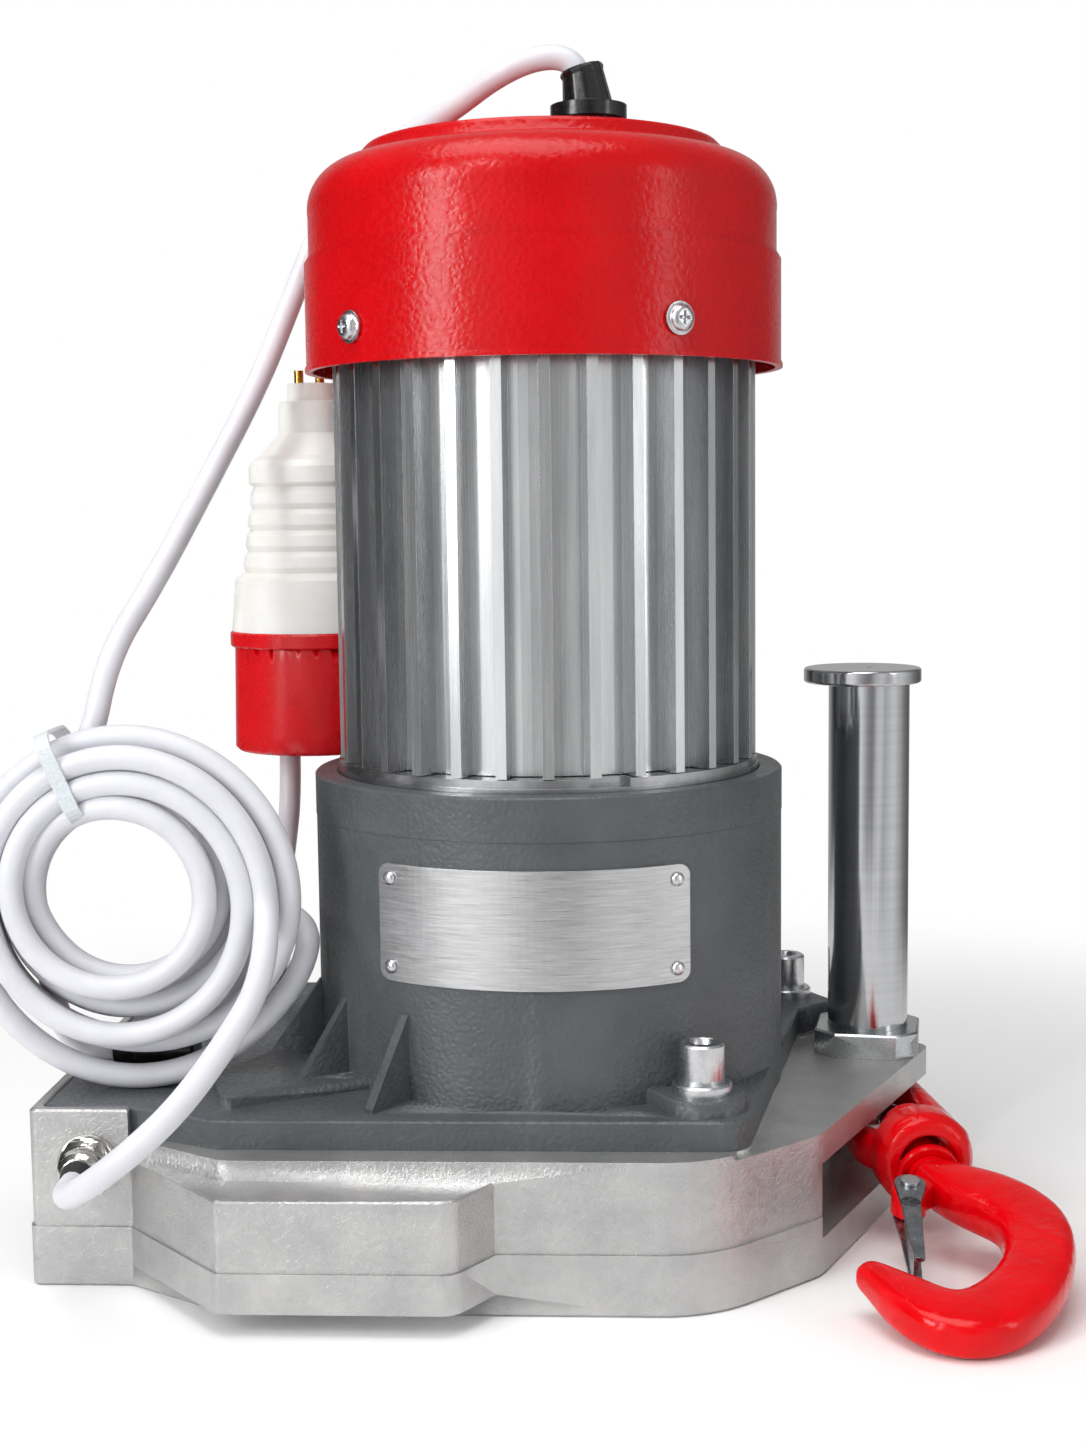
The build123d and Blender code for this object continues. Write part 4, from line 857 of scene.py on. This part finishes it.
# The turns that each cord makes in the coil, from one turn number to another, and the way on from
# there: the motor cord's to its connector behind the coil, the base cord's to the plug.
MOTOR_CORD_TURNS = (0.04, 2.33)
BASE_CORD_TURNS = (-0.27, 5.605)
motor_end = [
    (-184, -49.5, 97),
    (-182, -43, 82),
    (-176, -40.2, 75),
    (-170, -39.5, 73.2),
    (-163, -39.5, 73.0),
]
base_end = [
    (-95.5, -56.3, 96.5),
    (-88.5, -54, 108),
    (-86.5, -49, 118),
] + list(reversed(plug_route))[1:]
motor_points = motor_route[:-1] + coil_points(motor_rings, *MOTOR_CORD_TURNS) + motor_end
base_points = base_route[:-1] + coil_points(base_rings, *BASE_CORD_TURNS) + base_end

motor_cord = make_cord("motor_cord_line", motor_points)
base_cord = make_cord("base_cord_line", base_points)
cord_tie = make_tie()
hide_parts("motor_cord", "cord_coil")
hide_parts("base_cord", "plug_cord")


# Camera, floor and light


def make_camera():
    """The photo's camera: a little to the right, looking down a little, and rolled a little."""
    turn = math.radians(CAMERA_TURN_DEG)
    focal_px = LENS_MM / SENSOR_MM * PHOTO_HEIGHT
    yaw = turn + math.atan((MOTOR_AXIS_PX - PHOTO_WIDTH / 2) / focal_px)
    place = Vector((math.sin(turn), -math.cos(turn), 0)) * CAMERA_DISTANCE
    place.z = CAMERA_HEIGHT
    data = bpy.data.cameras.new("camera")
    data.lens = LENS_MM
    data.sensor_width = SENSOR_MM
    camera = bpy.data.objects.new("camera", data)
    bpy.context.scene.collection.objects.link(camera)
    pitch = Matrix.Rotation(math.radians(90 - CAMERA_PITCH_DEG), 4, "X")
    roll = Matrix.Rotation(math.radians(CAMERA_ROLL_DEG), 4, "Z")
    camera.matrix_world = Matrix.Translation(place) @ Matrix.Rotation(yaw, 4, "Z") @ pitch @ roll
    bpy.context.scene.camera = camera


FLOOR_HALF_SIZE = 12.0
FLOOR_BRIGHTNESS = 0.95

# Between these distances from the object's middle the floor turns from plain to glowing: white for
# the camera, and painted studio bands of light for gloss.
FLOOR_SHADOW_REACH = 0.32
FLOOR_WHITE_REACH = 0.62


def seen_rays(tree):
    """One for a ray that shows the surroundings: from the camera, off gloss or through glass."""
    path = add(tree, "ShaderNodeLightPath")
    gloss = add(tree, "ShaderNodeMath", {"operation": "MAXIMUM"},
                {0: path.outputs["Is Glossy Ray"], 1: path.outputs["Is Transmission Ray"]})
    seen = add(tree, "ShaderNodeMath", {"operation": "MAXIMUM"},
               {0: path.outputs["Is Camera Ray"], 1: gloss.outputs["Value"]})
    return path, seen.outputs["Value"]


# What gloss sees round the object, going round from the left: the angle as a share of a full turn,
# with the front at 0.25, the right at 0.5 and the back at 0.75, and how bright it is there.
studio_round = [
    (0.0, 0.09), (0.05, 0.15), (0.09, 0.3), (0.12, 0.9), (0.15, 1.2), (0.19, 1.2), (0.22, 0.7),
    (0.25, 0.4), (0.285, 0.28), (0.315, 0.75), (0.35, 0.95), (0.38, 0.6), (0.42, 0.85),
    (0.46, 0.95), (0.50, 0.7), (0.56, 0.3), (0.63, 0.12), (0.70, 0.45), (0.80, 0.45),
    (0.88, 0.04), (1.0, 0.09),
]


def studio_sides(tree, direction):
    """How bright the studio is in a direction, read off the list above."""
    around = add(tree, "ShaderNodeTexGradient", {"gradient_type": "RADIAL"}, {"Vector": direction})
    ramp = add(tree, "ShaderNodeValToRGB", links={"Fac": around.outputs["Fac"]})
    stops = ramp.color_ramp.elements
    while len(stops) < len(studio_round):
        stops.new(0.5)
    for stop, (position, level) in zip(stops, studio_round):
        stop.position = position
        stop.color = (level, level, level, 1)
    return ramp.outputs["Color"]


def make_floor():
    """A plain pale floor that keeps the soft shadow; far out it glows, white for the camera and,
    for gloss, with the studio's painted bright and dark bands of light.
    """
    bm = bmesh.new()
    bmesh.ops.create_grid(bm, x_segments=1, y_segments=1, size=FLOOR_HALF_SIZE)
    mesh = bpy.data.meshes.new("floor")
    bm.to_mesh(mesh)
    bm.free()
    floor = bpy.data.objects.new("floor", mesh)
    bpy.context.scene.collection.objects.link(floor)
    material = bpy.data.materials.new("pale floor")
    material.use_nodes = True
    tree = material.node_tree
    tree.nodes.clear()
    path, seen = seen_rays(tree)
    place = add(tree, "ShaderNodeTexCoord")
    reach = add(tree, "ShaderNodeVectorMath", {"operation": "LENGTH"}, {0: place.outputs["Object"]})
    far = add(tree, "ShaderNodeMapRange",
              {"interpolation_type": "SMOOTHSTEP", "From Min": FLOOR_SHADOW_REACH,
               "From Max": FLOOR_WHITE_REACH}, {"Value": reach.outputs["Value"]})
    share = add(tree, "ShaderNodeMath", {"operation": "MULTIPLY"},
                {0: far.outputs["Result"], 1: seen})
    plain = add(tree, "ShaderNodeBsdfDiffuse", {"Color": (FLOOR_BRIGHTNESS,) * 3 + (1,)})
    # Far out the floor glows: plain white for the camera, and for gloss the studio's bright and
    # dark bands, painted studio light that metals show.
    shown = add(tree, "ShaderNodeMix", {"data_type": "RGBA", 7: (1, 1, 1, 1)},
                {0: path.outputs["Is Camera Ray"], 6: studio_sides(tree, place.outputs["Object"])})
    white = add(tree, "ShaderNodeEmission", {"Strength": 1.0}, {"Color": shown.outputs[2]})
    mix = add(tree, "ShaderNodeMixShader",
              links={0: share.outputs["Value"], 1: plain.outputs["BSDF"],
                     2: white.outputs["Emission"]})
    add(tree, "ShaderNodeOutputMaterial", links={"Surface": mix.outputs["Shader"]})
    mesh.materials.append(material)


# The soft light from all round, how bright gloss sees the studio's top, and the share of straight
# up at which that top begins and is reached.
AMBIENT = 0.37
TOP_BRIGHTNESS = 0.35
TOP_BEGINS = 0.45
TOP_REACHED = 0.85


def make_world():
    """White for the camera, the studio for gloss, and plain soft light for the rest."""
    world = bpy.data.worlds.new("studio")
    bpy.context.scene.world = world
    world.use_nodes = True
    tree = world.node_tree
    tree.nodes.clear()
    path, seen = seen_rays(tree)
    place = add(tree, "ShaderNodeTexCoord")
    height = add(tree, "ShaderNodeSeparateXYZ", links={"Vector": place.outputs["Generated"]})
    above = add(tree, "ShaderNodeMapRange", {"From Min": TOP_BEGINS, "From Max": TOP_REACHED},
                {"Value": height.outputs["Z"]})
    studio = add(tree, "ShaderNodeMix", {"data_type": "RGBA", 7: (TOP_BRIGHTNESS,) * 3 + (1,)},
                 {0: above.outputs["Result"], 6: studio_sides(tree, place.outputs["Generated"])})
    white = add(tree, "ShaderNodeMix", {"data_type": "RGBA", 7: (1, 1, 1, 1)},
                {0: path.outputs["Is Camera Ray"], 6: studio.outputs[2]})
    shown = add(tree, "ShaderNodeBackground", {"Strength": 1.0}, {"Color": white.outputs[2]})
    soft = add(tree, "ShaderNodeBackground", {"Color": (1, 1, 1, 1), "Strength": AMBIENT})
    mix = add(tree, "ShaderNodeMixShader",
              links={0: seen, 1: soft.outputs["Background"], 2: shown.outputs["Background"]})
    add(tree, "ShaderNodeOutputWorld", links={"Surface": mix.outputs["Shader"]})


# Each lamp is its name, its place, what it points at, its width and height, and its power in watts.
softboxes = [
    ("left softbox", (-1.35, -1.30, 0.85), (0, 0, 0.22), (0.5, 1.1), 18),
    ("right softbox", (1.65, -0.9, 0.7), (0, 0, 0.22), (0.3, 1.2), 4),
    ("top softbox", (-0.2, -0.4, 2.0), (0, 0, 0.2), (1.5, 1.2), 22),
    ("key lamp", (-0.75, -1.35, 1.55), (0, 0, 0.2), (0.16, 0.16), 4),
]


def make_softbox(name, place, target, size, power):
    """A flat rectangular lamp that points at its target."""
    data = bpy.data.lights.new(name, "AREA")
    data.shape = "RECTANGLE"
    data.size, data.size_y = size
    data.energy = power
    lamp = bpy.data.objects.new(name, data)
    bpy.context.scene.collection.objects.link(lamp)
    aim = (Vector(target) - Vector(place)).to_track_quat("-Z", "Y")
    lamp.matrix_world = Matrix.Translation(place) @ aim.to_matrix().to_4x4()


bpy.context.scene.view_settings.view_transform = "Standard"
make_camera()
make_floor()
make_world()
for row in softboxes:
    make_softbox(*row)
